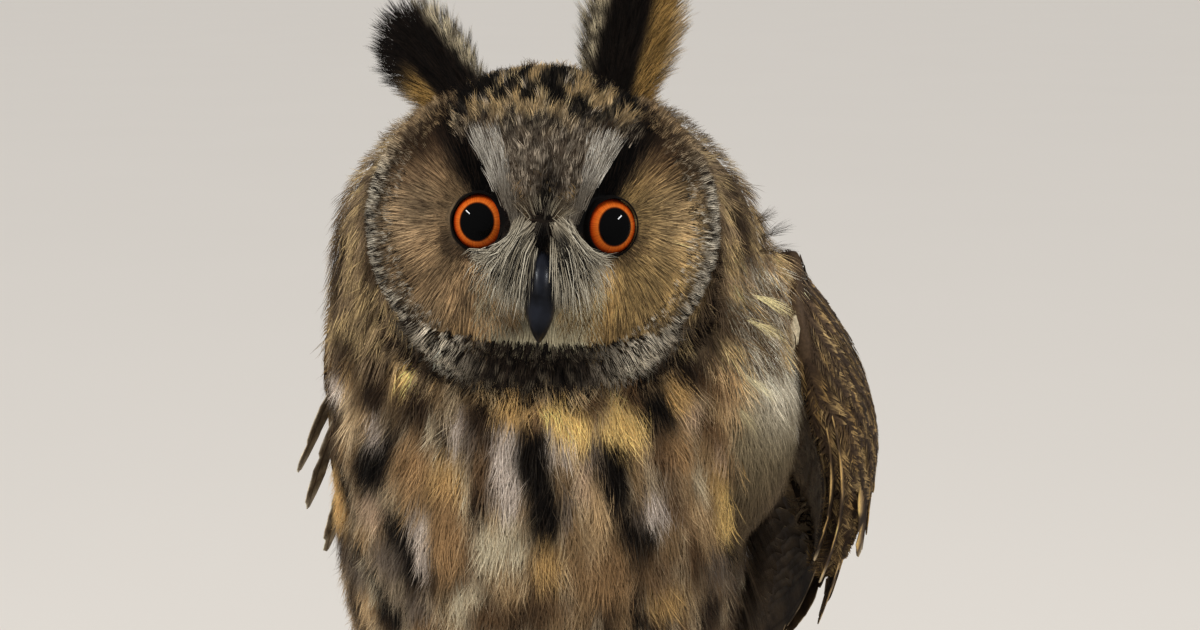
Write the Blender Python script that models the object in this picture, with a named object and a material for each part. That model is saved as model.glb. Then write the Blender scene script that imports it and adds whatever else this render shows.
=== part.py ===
"""A long-eared owl standing on the floor, life size, its left wing hanging away from its body.

Lengths are in millimetres and turn into metres where a mesh is made. +Z is up, the owl faces -Y,
and +X is its left. Each named part is one closed solid that keeps GAP to the part it grows from.
"""

import math

import bmesh
import bpy
import numpy as np
from mathutils import Matrix, Vector

MM = 0.001
GAP = 0.3
WELD = 0.0005

# Head. Face places are (across, up, forward) from the middle of the disc's rim plane.
FACE_CENTRE = (0.0, -42.0, 245.0)
FACE_PITCH = math.radians(-8.0)
FACE_ROLL = math.radians(2.1)
DISC_HALF_WIDTH = 48.0
DISC_HALF_HEIGHT = 43.5
HEAD_BACK = 64.0
EYE_ACROSS = 15.8
EYE_UP = 0.0
EYE_FORWARD = -0.6
EYE_RADIUS = 9.2
LID_RADIUS = 8.3
LID_THICKNESS = 1.0
LID_TURN = math.radians(16.0)

# Body cross-sections from the tail root to the crown:
# centre x, y and z, lean of the section in degrees, half width, depth to the back, depth to the front
BODY_SECTIONS = (
    (0.0, 112.0, 84.0, 60.0, 17.0, 10.0, 11.0),
    (0.0, 92.0, 90.0, 52.0, 36.0, 22.0, 37.0),
    (0.0, 66.0, 97.0, 42.0, 52.0, 36.0, 63.0),
    (0.0, 40.0, 116.0, 30.0, 60.0, 47.0, 73.0),
    (0.0, 22.0, 144.0, 18.0, 63.0, 55.0, 70.0),
    (0.0, 12.0, 174.0, 10.0, 63.0, 57.0, 66.0),
    (0.5, 7.0, 203.0, 5.0, 64.5, 55.0, 52.0),
    (1.7, 5.0, 228.0, 2.0, 65.5, 49.0, 41.0),
    (1.7, 3.0, 247.0, 0.0, 61.5, 43.0, 37.0),
    (1.0, 1.0, 261.0, 0.0, 52.0, 36.0, 33.0),
    (0.5, 0.0, 274.0, 0.0, 37.5, 27.0, 26.0),
    (0.0, 0.0, 282.0, 0.0, 20.0, 15.0, 15.0),
    (0.0, 0.0, 285.0, 0.0, 6.0, 5.0, 5.0),
)
BODY_RINGS = 24
BODY_SIDES = 28

# The bared flank under the hanging left wing
FLANK_CENTRE = (49.0, 0.0, 187.0)
FLANK_RADII = (28.0, 34.0, 44.0)

# The cuts that part the body: a point on each and the direction in which it faces the head
HEAD_CUT = ((0.0, -42.0, 199.0), (0.0, -0.62, 0.785))
NECK_CUT = ((0.0, -30.0, 186.0), (0.0, -0.34, 0.94))

# The level cuts that part each leg at the heel and above the toes
HEEL_CUT = ((0.0, 0.0, 36.0), (0.0, 0.0, 1.0))
ANKLE_CUT = ((0.0, 0.0, 11.0), (0.0, 0.0, 1.0))

# Feathers
VANE_THICKNESS = 0.6
VANE_LIFT = VANE_THICKNESS + 0.42
VANE_STATIONS = (0.0, 0.36, 0.68, 0.9, 1.0)
COVERT_STATIONS = (0.0, 0.5, 0.86, 1.0)

# The tail, from its root under the rump to its tips just clear of the floor
TAIL_ROOT = (0.0, 98.0, 90.0)
TAIL_TIP = (0.0, 217.0, 5.0)
TAIL_FEATHERS_A_SIDE = 6

# The ear tufts: root, tip and the way the broad side faces
TUFT_RIGHT = ((-17.5, -36.0, 272.5), (-44.0, -14.0, 302.0), (-0.35, -0.85, 0.1))
TUFT_LEFT = ((18.5, -33.0, 274.0), (29.0, -22.0, 317.0), (0.1, -0.95, 0.1))

# Covert feathers that stand out from the front edge of the closed wing: their roots and tips
# on that wing's sheet
RUFFLED = (
    ((16.0, -20.0, 1.0), (42.0, -42.0, 11.0)),
    ((27.0, -24.0, 1.5), (55.0, -44.0, 10.0)),
    ((46.0, -26.0, 2.0), (76.0, -44.0, 8.0)),
)

# Feet
LEG_ACROSS = 25.0
FOOT_Y = 9.0
HEEL = (24.0, 25.0, 42.0)
TOES = (
    # name, turn from straight ahead towards the outside in degrees, length, half width
    ("inner", -24.0, 25.0, 3.9),
    ("middle", 12.0, 28.0, 4.1),
    ("outer", 68.0, 23.0, 3.8),
    ("hind", 176.0, 16.0, 3.8),
)
TOE_HEIGHT = 7.4
CLAW_LENGTH = 12.5

COLOURS = {
    "plumage": ((0.42, 0.30, 0.17), 0.9),
    "face": ((0.50, 0.36, 0.20), 0.9),
    "wing": ((0.27, 0.19, 0.11), 0.8),
    "tuft": ((0.08, 0.05, 0.035), 0.85),
    "leg": ((0.62, 0.45, 0.26), 0.9),
    "bill": ((0.035, 0.035, 0.04), 0.35),
    "eye": ((0.75, 0.24, 0.03), 0.08),
}


def clear_scene():
    for thing in list(bpy.data.objects):
        bpy.data.objects.remove(thing)


def material(name):
    """The Principled material of that name, made on first use."""
    made = bpy.data.materials.get(name)
    if made is None:
        colour, roughness = COLOURS[name]
        made = bpy.data.materials.new(name)
        made.use_nodes = True
        shader = made.node_tree.nodes["Principled BSDF"]
        shader.inputs["Base Color"].default_value = (*colour, 1.0)
        shader.inputs["Roughness"].default_value = roughness
        shader.inputs["Metallic"].default_value = 0.0
    return made


def solid(name, points, faces, look):
    """A mesh object from points in millimetres, its faces turned outwards."""
    mesh = bpy.data.meshes.new(name)
    mesh.from_pydata([Vector(p) * MM for p in points], [], faces)
    work = bmesh.new()
    work.from_mesh(mesh)
    bmesh.ops.recalc_face_normals(work, faces=work.faces)
    work.to_mesh(mesh)
    work.free()
    mesh.materials.append(material(look))
    made = bpy.data.objects.new(name, mesh)
    bpy.context.scene.collection.objects.link(made)
    return made


def spline(rows, count):
    """Rows of numbers read at even steps along a Catmull-Rom curve through them."""
    rows = np.array(rows, float)
    last = len(rows) - 1
    out = []
    for at in np.linspace(0, last, count):
        i = min(int(at), last - 1)
        f = at - i
        before, start, end, after = rows[max(i - 1, 0)], rows[i], rows[i + 1], rows[min(i + 2, last)]
        bend = 2 * before - 5 * start + 4 * end - after
        twist = 3 * start - before - 3 * end + after
        out.append(start + 0.5 * f * (end - before + f * (bend + f * twist)))
    return np.array(out)


def loft(name, rings, look):
    """A closed skin over rings of equally many points, each end closed by strips across it."""
    sides = len(rings[0])
    points = [tuple(p) for ring in rings for p in ring]
    faces = []
    for r in range(len(rings) - 1):
        for k in range(sides):
            near, far = r * sides + k, r * sides + (k + 1) % sides
            faces.append((near, far, far + sides, near + sides))
    for first in (0, (len(rings) - 1) * sides):
        for k in range(sides // 2):
            strip = (k, k + 1, sides - k - 1, (sides - k) % sides)
            faces.append([first + i for i in dict.fromkeys(strip)])
    return solid(name, points, faces, look)


def ball(name, centre, radii, look, across=16, up=10, turn=None):
    """An ellipsoid, turned by the matrix turn where there is one."""
    work = bmesh.new()
    bmesh.ops.create_uvsphere(work, u_segments=across, v_segments=up, radius=1.0)
    turned = turn if turn is not None else Matrix.Identity(3)
    points = [turned @ Vector(v.co[i] * radii[i] for i in range(3)) + Vector(centre) for v in work.verts]
    faces = [tuple(v.index for v in f.verts) for f in work.faces]
    work.free()
    return solid(name, points, faces, look)


def tube(name, stations, look, sides=8, count=7):
    """A round body along stations of (x, y, z, radius across, radius along the bend)."""
    rows = spline(stations, count)
    rings = []
    for i, row in enumerate(rows):
        along = Vector(rows[min(i + 1, count - 1)][:3] - rows[max(i - 1, 0)][:3]).normalized()
        side = along.cross(Vector((0, 1, 0)) if abs(along.y) < 0.8 else Vector((0, 0, 1))).normalized()
        other = along.cross(side)
        ring = []
        for k in range(sides):
            angle = math.tau * k / sides
            ring.append(Vector(row[:3]) + side * row[3] * math.cos(angle) + other * row[4] * math.sin(angle))
        rings.append(ring)
    return loft(name, rings, look)


def applied(thing):
    """Turns the object's modifiers into its mesh."""
    graph = bpy.context.evaluated_depsgraph_get()
    mesh = bpy.data.meshes.new_from_object(thing.evaluated_get(graph))
    thing.modifiers.clear()
    thing.data = mesh
    return thing


def boolean(target, others, operation, solver="EXACT"):
    """One Boolean of target with every object in others, which are then removed."""
    group = bpy.data.collections.new("operands")
    for other in others:
        group.objects.link(other)
    step = target.modifiers.new(operation, "BOOLEAN")
    step.operation = operation
    step.solver = solver
    step.operand_type = "COLLECTION"
    step.collection = group
    bpy.context.view_layer.update()
    applied(target)
    for other in list(group.objects):
        bpy.data.objects.remove(other)
    bpy.data.collections.remove(group)
    return target


def copy_of(thing, name):
    made = thing.copy()
    made.data = thing.data.copy()
    made.name = name
    bpy.context.scene.collection.objects.link(made)
    return made


def swollen(thing):
    """The object itself, grown by GAP all round."""
    swell = thing.modifiers.new("swell", "DISPLACE")
    swell.mid_level = 0.0
    swell.strength = GAP * MM
    bpy.context.view_layer.update()
    return applied(thing)


def cut_clear(thing, *neighbours):
    """Cuts thing back by GAP from its neighbours, so that they meet face to face."""
    for neighbour in neighbours:
        boolean(thing, [swollen(copy_of(neighbour, "cutter"))], "DIFFERENCE")
    return keep_largest(thing)


def cut_away(thing, cutter, solver="EXACT"):
    """Takes the cutter's own shape out of thing."""
    boolean(thing, [copy_of(cutter, "cutter")], "DIFFERENCE", solver)
    return keep_largest(thing)


def keep_largest(thing):
    """Joins points that coincide, then keeps the object's largest closed surface."""
    work = bmesh.new()
    work.from_mesh(thing.data)
    bmesh.ops.remove_doubles(work, verts=work.verts, dist=WELD * MM)
    unseen = set(work.faces)
    shells = []
    while unseen:
        shell = {unseen.pop()}
        edge_of_shell = list(shell)
        while edge_of_shell:
            for edge in edge_of_shell.pop().edges:
                new = [f for f in edge.link_faces if f in unseen]
                unseen.difference_update(new)
                shell.update(new)
                edge_of_shell += new
        shells.append(shell)
    largest = max(shells, key=lambda shell: sum(f.calc_area() for f in shell))
    bmesh.ops.delete(work, geom=[f for f in work.faces if f not in largest], context="FACES")
    work.to_mesh(thing.data)
    work.free()
    return thing


def sliced(thing, cut, sign):
    """Keeps what lies on one side of a cut, half of GAP away from it, and closes the face."""
    point, facing = Vector(cut[0]), Vector(cut[1]).normalized()
    work = bmesh.new()
    work.from_mesh(thing.data)
    everything = work.verts[:] + work.edges[:] + work.faces[:]
    made = bmesh.ops.bisect_plane(
        work,
        geom=everything,
        plane_co=(point + facing * sign * GAP / 2) * MM,
        plane_no=facing,
        clear_inner=sign > 0,
        clear_outer=sign < 0,
    )
    edges = [e for e in made["geom_cut"] if isinstance(e, bmesh.types.BMEdge)]
    face = bmesh.ops.holes_fill(work, edges=edges)["faces"]
    bmesh.ops.triangulate(work, faces=face)
    bmesh.ops.recalc_face_normals(work, faces=work.faces)
    work.to_mesh(thing.data)
    work.free()
    return keep_largest(thing)


def shade(thing, angle=40.0):
    thing.data.shade_smooth()
    thing.data.set_sharp_from_angle(angle=math.radians(angle))
    return thing


def body_sections(count):
    """The body's cross-sections as arrays: centres, frames and radii."""
    rows = spline(BODY_SECTIONS, count)
    lean = np.radians(rows[:, 3])
    zero = np.zeros(count)
    return {
        "centre": rows[:, :3],
        "to_back": np.stack([zero, np.cos(lean), np.sin(lean)], 1),
        "to_head": np.stack([zero, -np.sin(lean), np.cos(lean)], 1),
        "width": rows[:, 4],
        "back": rows[:, 5],
        "front": rows[:, 6],
    }


def body_rings():
    found = body_sections(BODY_RINGS)
    angle = np.linspace(0, math.tau, BODY_SIDES, endpoint=False)
    rings = []
    for i in range(BODY_RINGS):
        depth = np.where(np.sin(angle) > 0, found["back"][i], found["front"][i]) * np.sin(angle)
        across = found["width"][i] * np.cos(angle)
        rings.append(found["centre"][i] + across[:, None] * (1, 0, 0) + depth[:, None] * found["to_back"][i])
    return rings


FINE_BODY = body_sections(240)


def outside_body(point, clearance):
    """The point itself, or where it has to move to lie that far outside the body's skin."""
    offset = np.array(point) - FINE_BODY["centre"]
    nearest = int(np.argmin(np.abs((offset * FINE_BODY["to_head"]).sum(1))))
    x = offset[nearest][0]
    y = offset[nearest] @ FINE_BODY["to_back"][nearest]
    depth = FINE_BODY["back"][nearest] if y > 0 else FINE_BODY["front"][nearest]
    reach = math.hypot(x / (FINE_BODY["width"][nearest] + clearance), y / (depth + clearance))
    if reach >= 1 or reach < 1e-6:
        return Vector(point)
    centre = Vector(FINE_BODY["centre"][nearest])
    moved = centre + (Vector((x, 0, 0)) + Vector(FINE_BODY["to_back"][nearest]) * y) / reach
    return moved + Vector(FINE_BODY["to_head"][nearest]) * float(
        offset[nearest] @ FINE_BODY["to_head"][nearest]
    )


FACE_TURN = Matrix.Rotation(FACE_ROLL, 3, "Y") @ Matrix.Rotation(FACE_PITCH, 3, "X")


def on_face(across, up, forward):
    """A place of the face in the owl's own frame."""
    return FACE_TURN @ Vector((across, -forward, up)) + Vector(FACE_CENTRE)


def bump(distance, width):
    return math.exp(-((distance / width) ** 2))


def ramp(value, low, high):
    """0 at low and 1 at high, smoothly."""
    f = min(1.0, max(0.0, (value - low) / (high - low)))
    return f * f * (3 - 2 * f)


def face_height(across, up):
    """How far the face stands forward of the rim plane."""
    side = abs(across)
    reach = math.hypot(across / DISC_HALF_WIDTH, up / DISC_HALF_HEIGHT)
    below_crown = 1 - ramp(up, 20, 38)
    dome = 10.0 * (1 - reach**2)
    bridge = 6.5 * bump(across, 7.0) * ramp(up, -22, -7) * (1 - 0.5 * ramp(up, 8, 35))
    dish = -4.0 * bump(side - 21, 11) * bump(up - 1, 16)
    outer_dish = -1.6 * bump(reach - 0.8, 0.12) * below_crown
    rim = 3.0 * bump(reach - 0.95, 0.06) * below_crown
    along_brow = min(1.0, max(0.0, ((side - 5) * 13 + (up + 4) * 36) / (13**2 + 36**2)))
    from_brow = math.hypot(side - 5 - 13 * along_brow, up + 4 - 36 * along_brow)
    brow = 3.2 * bump(from_brow, 4.0)
    whisker_bed = 3.0 * bump(side - 8, 5) * bump(up + 15, 8)
    chin = 1.5 * bump(across, 12) * bump(up + 34, 6)
    return dome + bridge + dish + outer_dish + rim + brow + whisker_bed + chin


def head_skin():
    """The face's relief inside the disc's rim, and behind it a rounded head."""
    sides = 42
    front_rings, back_rings = 14, 5
    angles = [math.tau * k / sides for k in range(sides)]
    rings = []
    for r in range(1, front_rings + 1):
        reach = (r / front_rings) ** 0.9
        ring = []
        for angle in angles:
            across = DISC_HALF_WIDTH * reach * math.cos(angle)
            up = DISC_HALF_HEIGHT * reach * math.sin(angle)
            ring.append(on_face(across, up, face_height(across, up)))
        rings.append(ring)
    for r in range(1, back_rings + 1):
        turn = math.pi / 2 * r / (back_rings + 0.4)
        reach = math.cos(turn) + 0.06 * math.sin(2 * turn)
        ring = []
        for angle in angles:
            across = DISC_HALF_WIDTH * reach * math.cos(angle)
            up = (DISC_HALF_HEIGHT - 5.0 * max(0.0, math.sin(angle)) * (r > 1)) * reach * math.sin(angle)
            ring.append(on_face(across, up, -HEAD_BACK * math.sin(turn) - 1.5))
        rings.append(ring)
    return loft("head", rings, "face")


def lid_ring(side):
    """The thick rim of both eyelids round the front of the eye."""
    turn = FACE_TURN @ Matrix.Rotation(side * LID_TURN, 3, "Z")
    centre = on_face(side * EYE_ACROSS, EYE_UP, EYE_FORWARD)
    steps, sides = 20, 5
    from_eye = EYE_RADIUS + GAP + 0.8 * LID_THICKNESS
    forward = math.sqrt(from_eye**2 - LID_RADIUS**2)
    points, faces = [], []
    for r in range(steps):
        angle = math.tau * r / steps
        outward = Vector((math.cos(angle), 0, math.sin(angle)))
        for k in range(sides):
            round_rim = math.tau * k / sides
            rim = outward * math.cos(round_rim) + Vector((0, -1, 0)) * math.sin(round_rim)
            at = outward * LID_RADIUS + Vector((0, -forward, 0)) + rim * LID_THICKNESS
            points.append(centre + turn @ at)
            after = (r + 1) % steps * sides
            faces.append((r * sides + k, r * sides + (k + 1) % sides, after + (k + 1) % sides, after + k))
    return solid("lid", points, faces, "face")


def eye(side):
    name = "eye_left" if side > 0 else "eye_right"
    centre = on_face(side * EYE_ACROSS, EYE_UP, EYE_FORWARD)
    upright = Matrix.Rotation(math.pi / 2, 3, "X")
    radii = (EYE_RADIUS,) * 3
    turn = FACE_TURN @ Matrix.Rotation(side * LID_TURN, 3, "Z") @ upright
    return ball(name, centre, radii, "eye", across=16, up=10, turn=turn)


def upper_bill():
    """The hooked upper half of the bill, with a nostril on each side of its base."""
    stations = (
        # up, forward, half width, half depth
        (-7.0, 9.5, 4.4, 4.2),
        (-13.0, 13.6, 5.0, 5.0),
        (-19.0, 15.2, 4.4, 4.6),
        (-25.0, 15.0, 3.1, 3.5),
        (-28.6, 13.5, 1.7, 2.0),
        (-30.7, 12.2, 0.5, 0.6),
    )
    rows = spline(stations, 11)
    rings = []
    for i, (up, forward, half_width, half_depth) in enumerate(rows):
        step = rows[min(i + 1, 10)][:2] - rows[max(i - 1, 0)][:2]
        step /= np.linalg.norm(step)
        ring = []
        for k in range(12):
            angle = math.tau * k / 12
            keel = half_depth * math.sin(angle)
            width = half_width * math.cos(angle) * (1 - 0.25 * max(0.0, math.sin(angle)))
            ring.append(on_face(width, up + keel * step[1], forward - keel * step[0]))
        rings.append(ring)
    made = loft("bill_upper", rings, "bill")
    nostrils = [
        ball("nostril", on_face(side * 4.4, -13.5, 16.0), (0.9, 0.9, 1.2), "bill", 8, 6) for side in (-1, 1)
    ]
    return boolean(made, nostrils, "DIFFERENCE")


def lower_bill():
    stations = (
        (-15.0, 5.5, 3.9, 2.7),
        (-20.0, 9.4, 3.7, 2.6),
        (-24.6, 11.0, 2.6, 1.9),
        (-27.6, 11.2, 1.0, 0.8),
    )
    rows = spline(stations, 7)
    rings = []
    for i, (up, forward, half_width, half_depth) in enumerate(rows):
        step = rows[min(i + 1, 6)][:2] - rows[max(i - 1, 0)][:2]
        step /= np.linalg.norm(step)
        rings.append(
            [
                on_face(
                    half_width * math.cos(math.tau * k / 10),
                    up + half_depth * math.sin(math.tau * k / 10) * step[1],
                    forward - half_depth * math.sin(math.tau * k / 10) * step[0],
                )
                for k in range(10)
            ]
        )
    return loft("bill_lower", rings, "bill")


class Sheet:
    """A curved surface that feathers lie on: (along, across, above) in millimetres to a place.

    It follows a curve through its axis points and bends across with the given radius. Across
    counts from the front or lower edge to the back edge, and above counts away from the body.
    """

    def __init__(self, axis, outward, bend_radius, side=1, clearance=None):
        self.points = spline(axis, 80)
        steps = np.linalg.norm(np.diff(self.points, axis=0), axis=1)
        self.reached = np.concatenate([[0.0], np.cumsum(steps)])
        self.length = float(self.reached[-1])
        self.outward = Vector(outward)
        self.bend_radius = bend_radius
        self.side = side
        self.clearance = clearance

    def axis_at(self, along):
        clamped = min(max(along, 0.0), self.length)
        point = Vector([float(np.interp(clamped, self.reached, self.points[:, i])) for i in range(3)])
        ends = []
        for at in (max(clamped - 6, 0.0), min(clamped + 6, self.length)):
            ends.append(Vector([float(np.interp(at, self.reached, self.points[:, i])) for i in range(3)]))
        direction = (ends[1] - ends[0]).normalized()
        return point + direction * (along - clamped), direction

    def place(self, along, across, above):
        point, direction = self.axis_at(along)
        normal = (self.outward - direction * self.outward.dot(direction)).normalized()
        back = direction.cross(normal) * -self.side
        angle = across / self.bend_radius
        lifted = normal * math.cos(angle) + back * math.sin(angle)
        centre = point - normal * self.bend_radius
        base = centre + lifted * self.bend_radius
        if self.clearance is not None:
            base = outside_body(base, self.clearance)
        return base + lifted * above


def vane(sheet, root, tip, widths, spacing, stations=VANE_STATIONS, twist=1.0, look="wing"):
    """One feather on a sheet: a thin solid that widens from its root and rounds off at its tip.

    root and tip are (along, across, above). widths are those in front of and behind the shaft.
    spacing is the distance to the next feather at the root and at the tip: each vane leans by
    VANE_LIFT over that distance, so that neighbours lie over one another without touching.
    """
    root, tip = np.array(root, float), np.array(tip, float)
    rows = []
    for v in stations:
        along, across, above = root + (tip - root) * v
        full = 0.45 + 0.55 * ramp(v, 0.0, 0.45)
        if v > 0.7:
            full *= math.sqrt(max(0.03, 1 - ((v - 0.7) / 0.302) ** 2))
        slope = twist * VANE_LIFT / (spacing[0] + (spacing[1] - spacing[0]) * v)
        front, behind = widths[0] * full, widths[1] * full
        rows.append(
            (
                (along, across - front, above + slope * front),
                (along, across, above + 0.25),
                (along, across + behind, above - slope * behind),
            )
        )
    points = []
    for thickness in (0.0, VANE_THICKNESS):
        for row in rows:
            points += [sheet.place(a, b, c - thickness) for a, b, c in row]
    count = len(rows)
    lower = 3 * count
    faces = []
    for r in range(count - 1):
        for k in range(2):
            a, b, c, d = 3 * r + k, 3 * r + k + 1, 3 * r + k + 4, 3 * r + k + 3
            faces += [(a, b, c), (a, c, d)]
            faces += [(c + lower, b + lower, a + lower), (d + lower, c + lower, a + lower)]
        for k in (0, 2):
            a, b = 3 * r + k, 3 * r + k + 3
            faces += [(a, b, b + lower), (a, b + lower, a + lower)]
    for r in (0, count - 1):
        for k in range(2):
            a, b = 3 * r + k, 3 * r + k + 1
            faces += [(a, b, b + lower), (a, b + lower, a + lower)]
    return solid("vane", points, faces, look)


def spread(first, last, count):
    return [first + (last - first) * i / (count - 1) for i in range(count)]


def squarish(value):
    """Fills the corners of a round section, so that its faces are flatter."""
    return math.copysign(abs(value) ** 0.62, value)


def wing_body(name, sheet):
    """The folded arm under its smooth small coverts: along, front edge, back edge, under, over."""
    sections = (
        (-9.0, -7.0, 9.0, 0.0, 3.0),
        (2.0, -20.0, 21.0, -4.0, 6.6),
        (26.0, -29.0, 32.0, -6.0, 9.0),
        (56.0, -32.0, 38.0, -6.0, 9.4),
        (84.0, -31.0, 38.0, -5.2, 7.8),
        (104.0, -27.0, 34.0, -4.0, 4.6),
        (116.0, -20.0, 27.0, -2.4, 2.0),
    )
    sides = 16
    rings = []
    for along, front, back, under, over in spline(sections, 10):
        ring = []
        for k in range(sides):
            angle = math.tau * k / sides
            across = (front + back) / 2 + (back - front) / 2 * squarish(math.cos(angle))
            above = (under + over) / 2 + (over - under) / 2 * squarish(math.sin(angle))
            ring.append(sheet.place(along, across, above))
        rings.append(ring)
    return loft(name, rings, "wing")


def wing(name, sheet, shoulder, ruffled=()):
    """A folded wing: arm, thumb feathers, two tiers of coverts, secondaries and primaries."""
    made = wing_body(name, sheet)
    feathers = [shoulder]
    for root, tip in ruffled:
        feathers.append(vane(sheet, root, tip, (4.0, 4.4), (3.0, 3.5), COVERT_STATIONS))
    for i, across in enumerate(spread(-23.0, 31.0, 7)):
        root = (37.0 + 1.3 * math.sin(2.1 * i), across, 6.2)
        tip = (89.0 + 4.0 * math.sin(1.9 * i), across * 1.02, 9.6)
        feathers.append(vane(sheet, root, tip, (7.4, 7.4), (9.0, 9.1), COVERT_STATIONS))
    for i, across in enumerate(spread(-25.0, 32.0, 8)):
        root = (67.0 + 1.3 * math.sin(1.3 * i), across * 0.92, 3.2)
        tip = (132.0 - 0.12 * across + 3.0 * math.sin(2.3 * i), across, 6.0)
        feathers.append(vane(sheet, root, tip, (7.4, 7.6), (7.7, 8.4), COVERT_STATIONS))
    for i, across in enumerate(spread(-18.0, 31.0, 8)):
        root = (86.0 + 1.5 * math.sin(1.7 * i), across, 1.0)
        tip = (198.0 - 0.75 * across + 3.0 * math.sin(1.7 * i), 2 + across * 0.74, 2.2)
        feathers.append(vane(sheet, root, tip, (7.0, 9.5), (7.0, 5.2)))
    for i, across in enumerate(spread(-27.0, -3.0, 7)):
        root = (80.0 + 1.4 * math.sin(2.6 * i), across, -2.2)
        tip = (283.0 - 1.9 * (i - 1.6) ** 2, -9.0 + 2.9 * i, -2.0)
        feathers.append(vane(sheet, root, tip, (4.6, 8.6), (4.0, 2.9)))
    for i in range(2):
        root = (24.0 + 3.0 * i, -26.0 - 1.5 * i, 5.0 - 2.2 * i)
        tip = (92.0 - 14.0 * i, -37.0 - 2.4 * i, 3.2 - 2.2 * i)
        feathers.append(vane(sheet, root, tip, (4.5, 5.5), (4.0, 4.0), COVERT_STATIONS))
    boolean(made, feathers, "UNION")
    return keep_largest(made)


def right_wing():
    """The wing that lies closed against the body."""
    axis = ((-38.0, 34.0, 212.0), (-38.0, 64.0, 166.0), (-31.0, 113.0, 106.0), (-17.0, 203.0, 41.0))
    sheet = Sheet(axis, (-0.6, 0.72, 0.3), 60.0, side=-1, clearance=2.6)
    shoulder = ball("shoulder", (-38.0, 33.0, 211.0), (16.0, 18.0, 19.0), "wing", 12, 8)
    return wing("wing_right", sheet, shoulder, RUFFLED)


def left_wing():
    """The wing that hangs away from the body, so that the flank shows in front of it."""
    axis = ((72.0, 6.0, 218.0), (93.0, 35.0, 172.0), (87.0, 102.0, 104.0), (56.0, 192.0, 42.0))
    sheet = Sheet(axis, (1.0, 0.08, 0.12), 44.0, side=1, clearance=5.0)
    shoulder = ball("shoulder", (63.0, 8.0, 213.0), (17.0, 21.0, 20.0), "wing", 12, 8)
    return wing("wing_left", sheet, shoulder)


def tail():
    """Twelve tail feathers that fan from one root, the middle pair on top."""
    sheet = Sheet((TAIL_ROOT, (0.0, 158.0, 50.0), TAIL_TIP), (0.0, 0.6, 0.8), 90.0, side=1)
    length = sheet.length
    stub = [
        [
            sheet.place(along, half * math.cos(math.tau * k / 14), 0.2 + thick * math.sin(math.tau * k / 14))
            for k in range(14)
        ]
        for along, half, thick in ((-4, 13, 7), (8, 18, 8), (20, 20, 6.5), (32, 19, 4.5), (42, 14, 2))
    ]
    made = loft("tail", stub, "wing")
    feathers = []
    for side in (-1, 1):
        for i in range(TAIL_FEATHERS_A_SIDE):
            on_top = side > 0 and i == 0
            across = side * (4.2 + 2.4 * i)
            at_tip = side * (4.0 + 5.4 * i)
            inner, outer = (10.0 if i else 7.0 if on_top else 3.6), 7.0
            widths = (inner, outer) if side > 0 else (outer, inner)
            above = 2.2 - 0.75 * i + 1.8 * on_top
            root = (10.0 + 0.7 * i + 0.5 * side, across, above)
            tip = (length - 3.0 * i - 0.6 * side, at_tip, above)
            feathers.append(vane(sheet, root, tip, widths, (7.0, 6.0), twist=-0.8 * side))
    boolean(made, feathers, "UNION")
    return keep_largest(made)


def tuft(name, side, ends, half_fan):
    """An ear tuft: long narrow feathers that fan from one point of the brow."""
    start, end, facing = (Vector(v) for v in ends)
    middle = (start + end) / 2 + Vector((side * 2.0, 0.0, 2.0))
    sheet = Sheet((start, middle, end), facing, 26.0, side=1)
    sides = 10
    stub = []
    for along, half, thick in ((-6, 5, 3.5), (1, 8.5, 5), (9, 8.5, 4.5), (16, 6, 2)):
        angles = [math.tau * k / sides for k in range(sides)]
        stub.append([sheet.place(along, half * math.cos(a), thick * math.sin(a)) for a in angles])
    made = loft(name, stub, "tuft")
    feathers = []
    for i, across in enumerate(spread(-5.4, 5.4, 6)):
        tip = (sheet.length * (1 - 0.045 * (i - 2.5) ** 2), across * half_fan / 5.4, 1.0)
        root = (2.0 + 0.4 * i, across, 1.2)
        spacing = (2.16, 0.37 * half_fan)
        feathers.append(vane(sheet, root, tip, (4.2, 4.4), spacing, COVERT_STATIONS, look="tuft"))
    for i, across in enumerate(spread(-4.0, 4.0, 3)):
        tip = (sheet.length * (0.74 - 0.04 * i), across * half_fan / 5.4, -4.2)
        root = (1.5 + 0.4 * i, across, -2.8)
        spacing = (4.0, 0.7 * half_fan)
        feathers.append(vane(sheet, root, tip, (4.2, 4.4), spacing, COVERT_STATIONS, look="tuft"))
    boolean(made, feathers, "UNION")
    return keep_largest(made)


def thigh(side):
    """The feathered upper leg, from inside the belly down to the heel."""
    stations = (
        (side * 27.0, 8.0, 106.0, 14.0, 17.0),
        (side * 29.0, 6.0, 84.0, 21.0, 26.0),
        (side * 28.0, 11.0, 62.0, 17.5, 21.0),
        (side * 25.5, 19.0, 46.0, 10.5, 12.5),
        (side * HEEL[0], HEEL[1] - 2.0, HEEL[2] - 7.0, 6.6, 7.6),
        (side * HEEL[0], HEEL[1] - 3.5, HEEL[2] - 10.0, 3.5, 4.0),
    )
    return tube("thigh", stations, "leg", sides=14, count=10)


def shank(side):
    """The feathered lower leg, from the heel forward and down to the foot."""
    stations = (
        (side * HEEL[0], HEEL[1] - 1.0, HEEL[2], 4.6, 5.2),
        (side * HEEL[0], HEEL[1] - 2.0, HEEL[2] - 7.0, 5.6, 6.2),
        (side * (HEEL[0] + 0.4), 18.0, 26.0, 5.6, 6.2),
        (side * LEG_ACROSS, FOOT_Y + 3.5, 14.0, 5.8, 6.4),
        (side * LEG_ACROSS, FOOT_Y, 6.5, 5.0, 5.4),
    )
    return tube("shank", stations, "leg", sides=10, count=7)


def toe_frame(side, turn):
    """Where a toe starts and the level direction in which it points."""
    angle = math.radians(turn)
    heading = Vector((side * math.sin(angle), -math.cos(angle), 0.0))
    return Vector((side * LEG_ACROSS, FOOT_Y, 0.0)), heading


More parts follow.
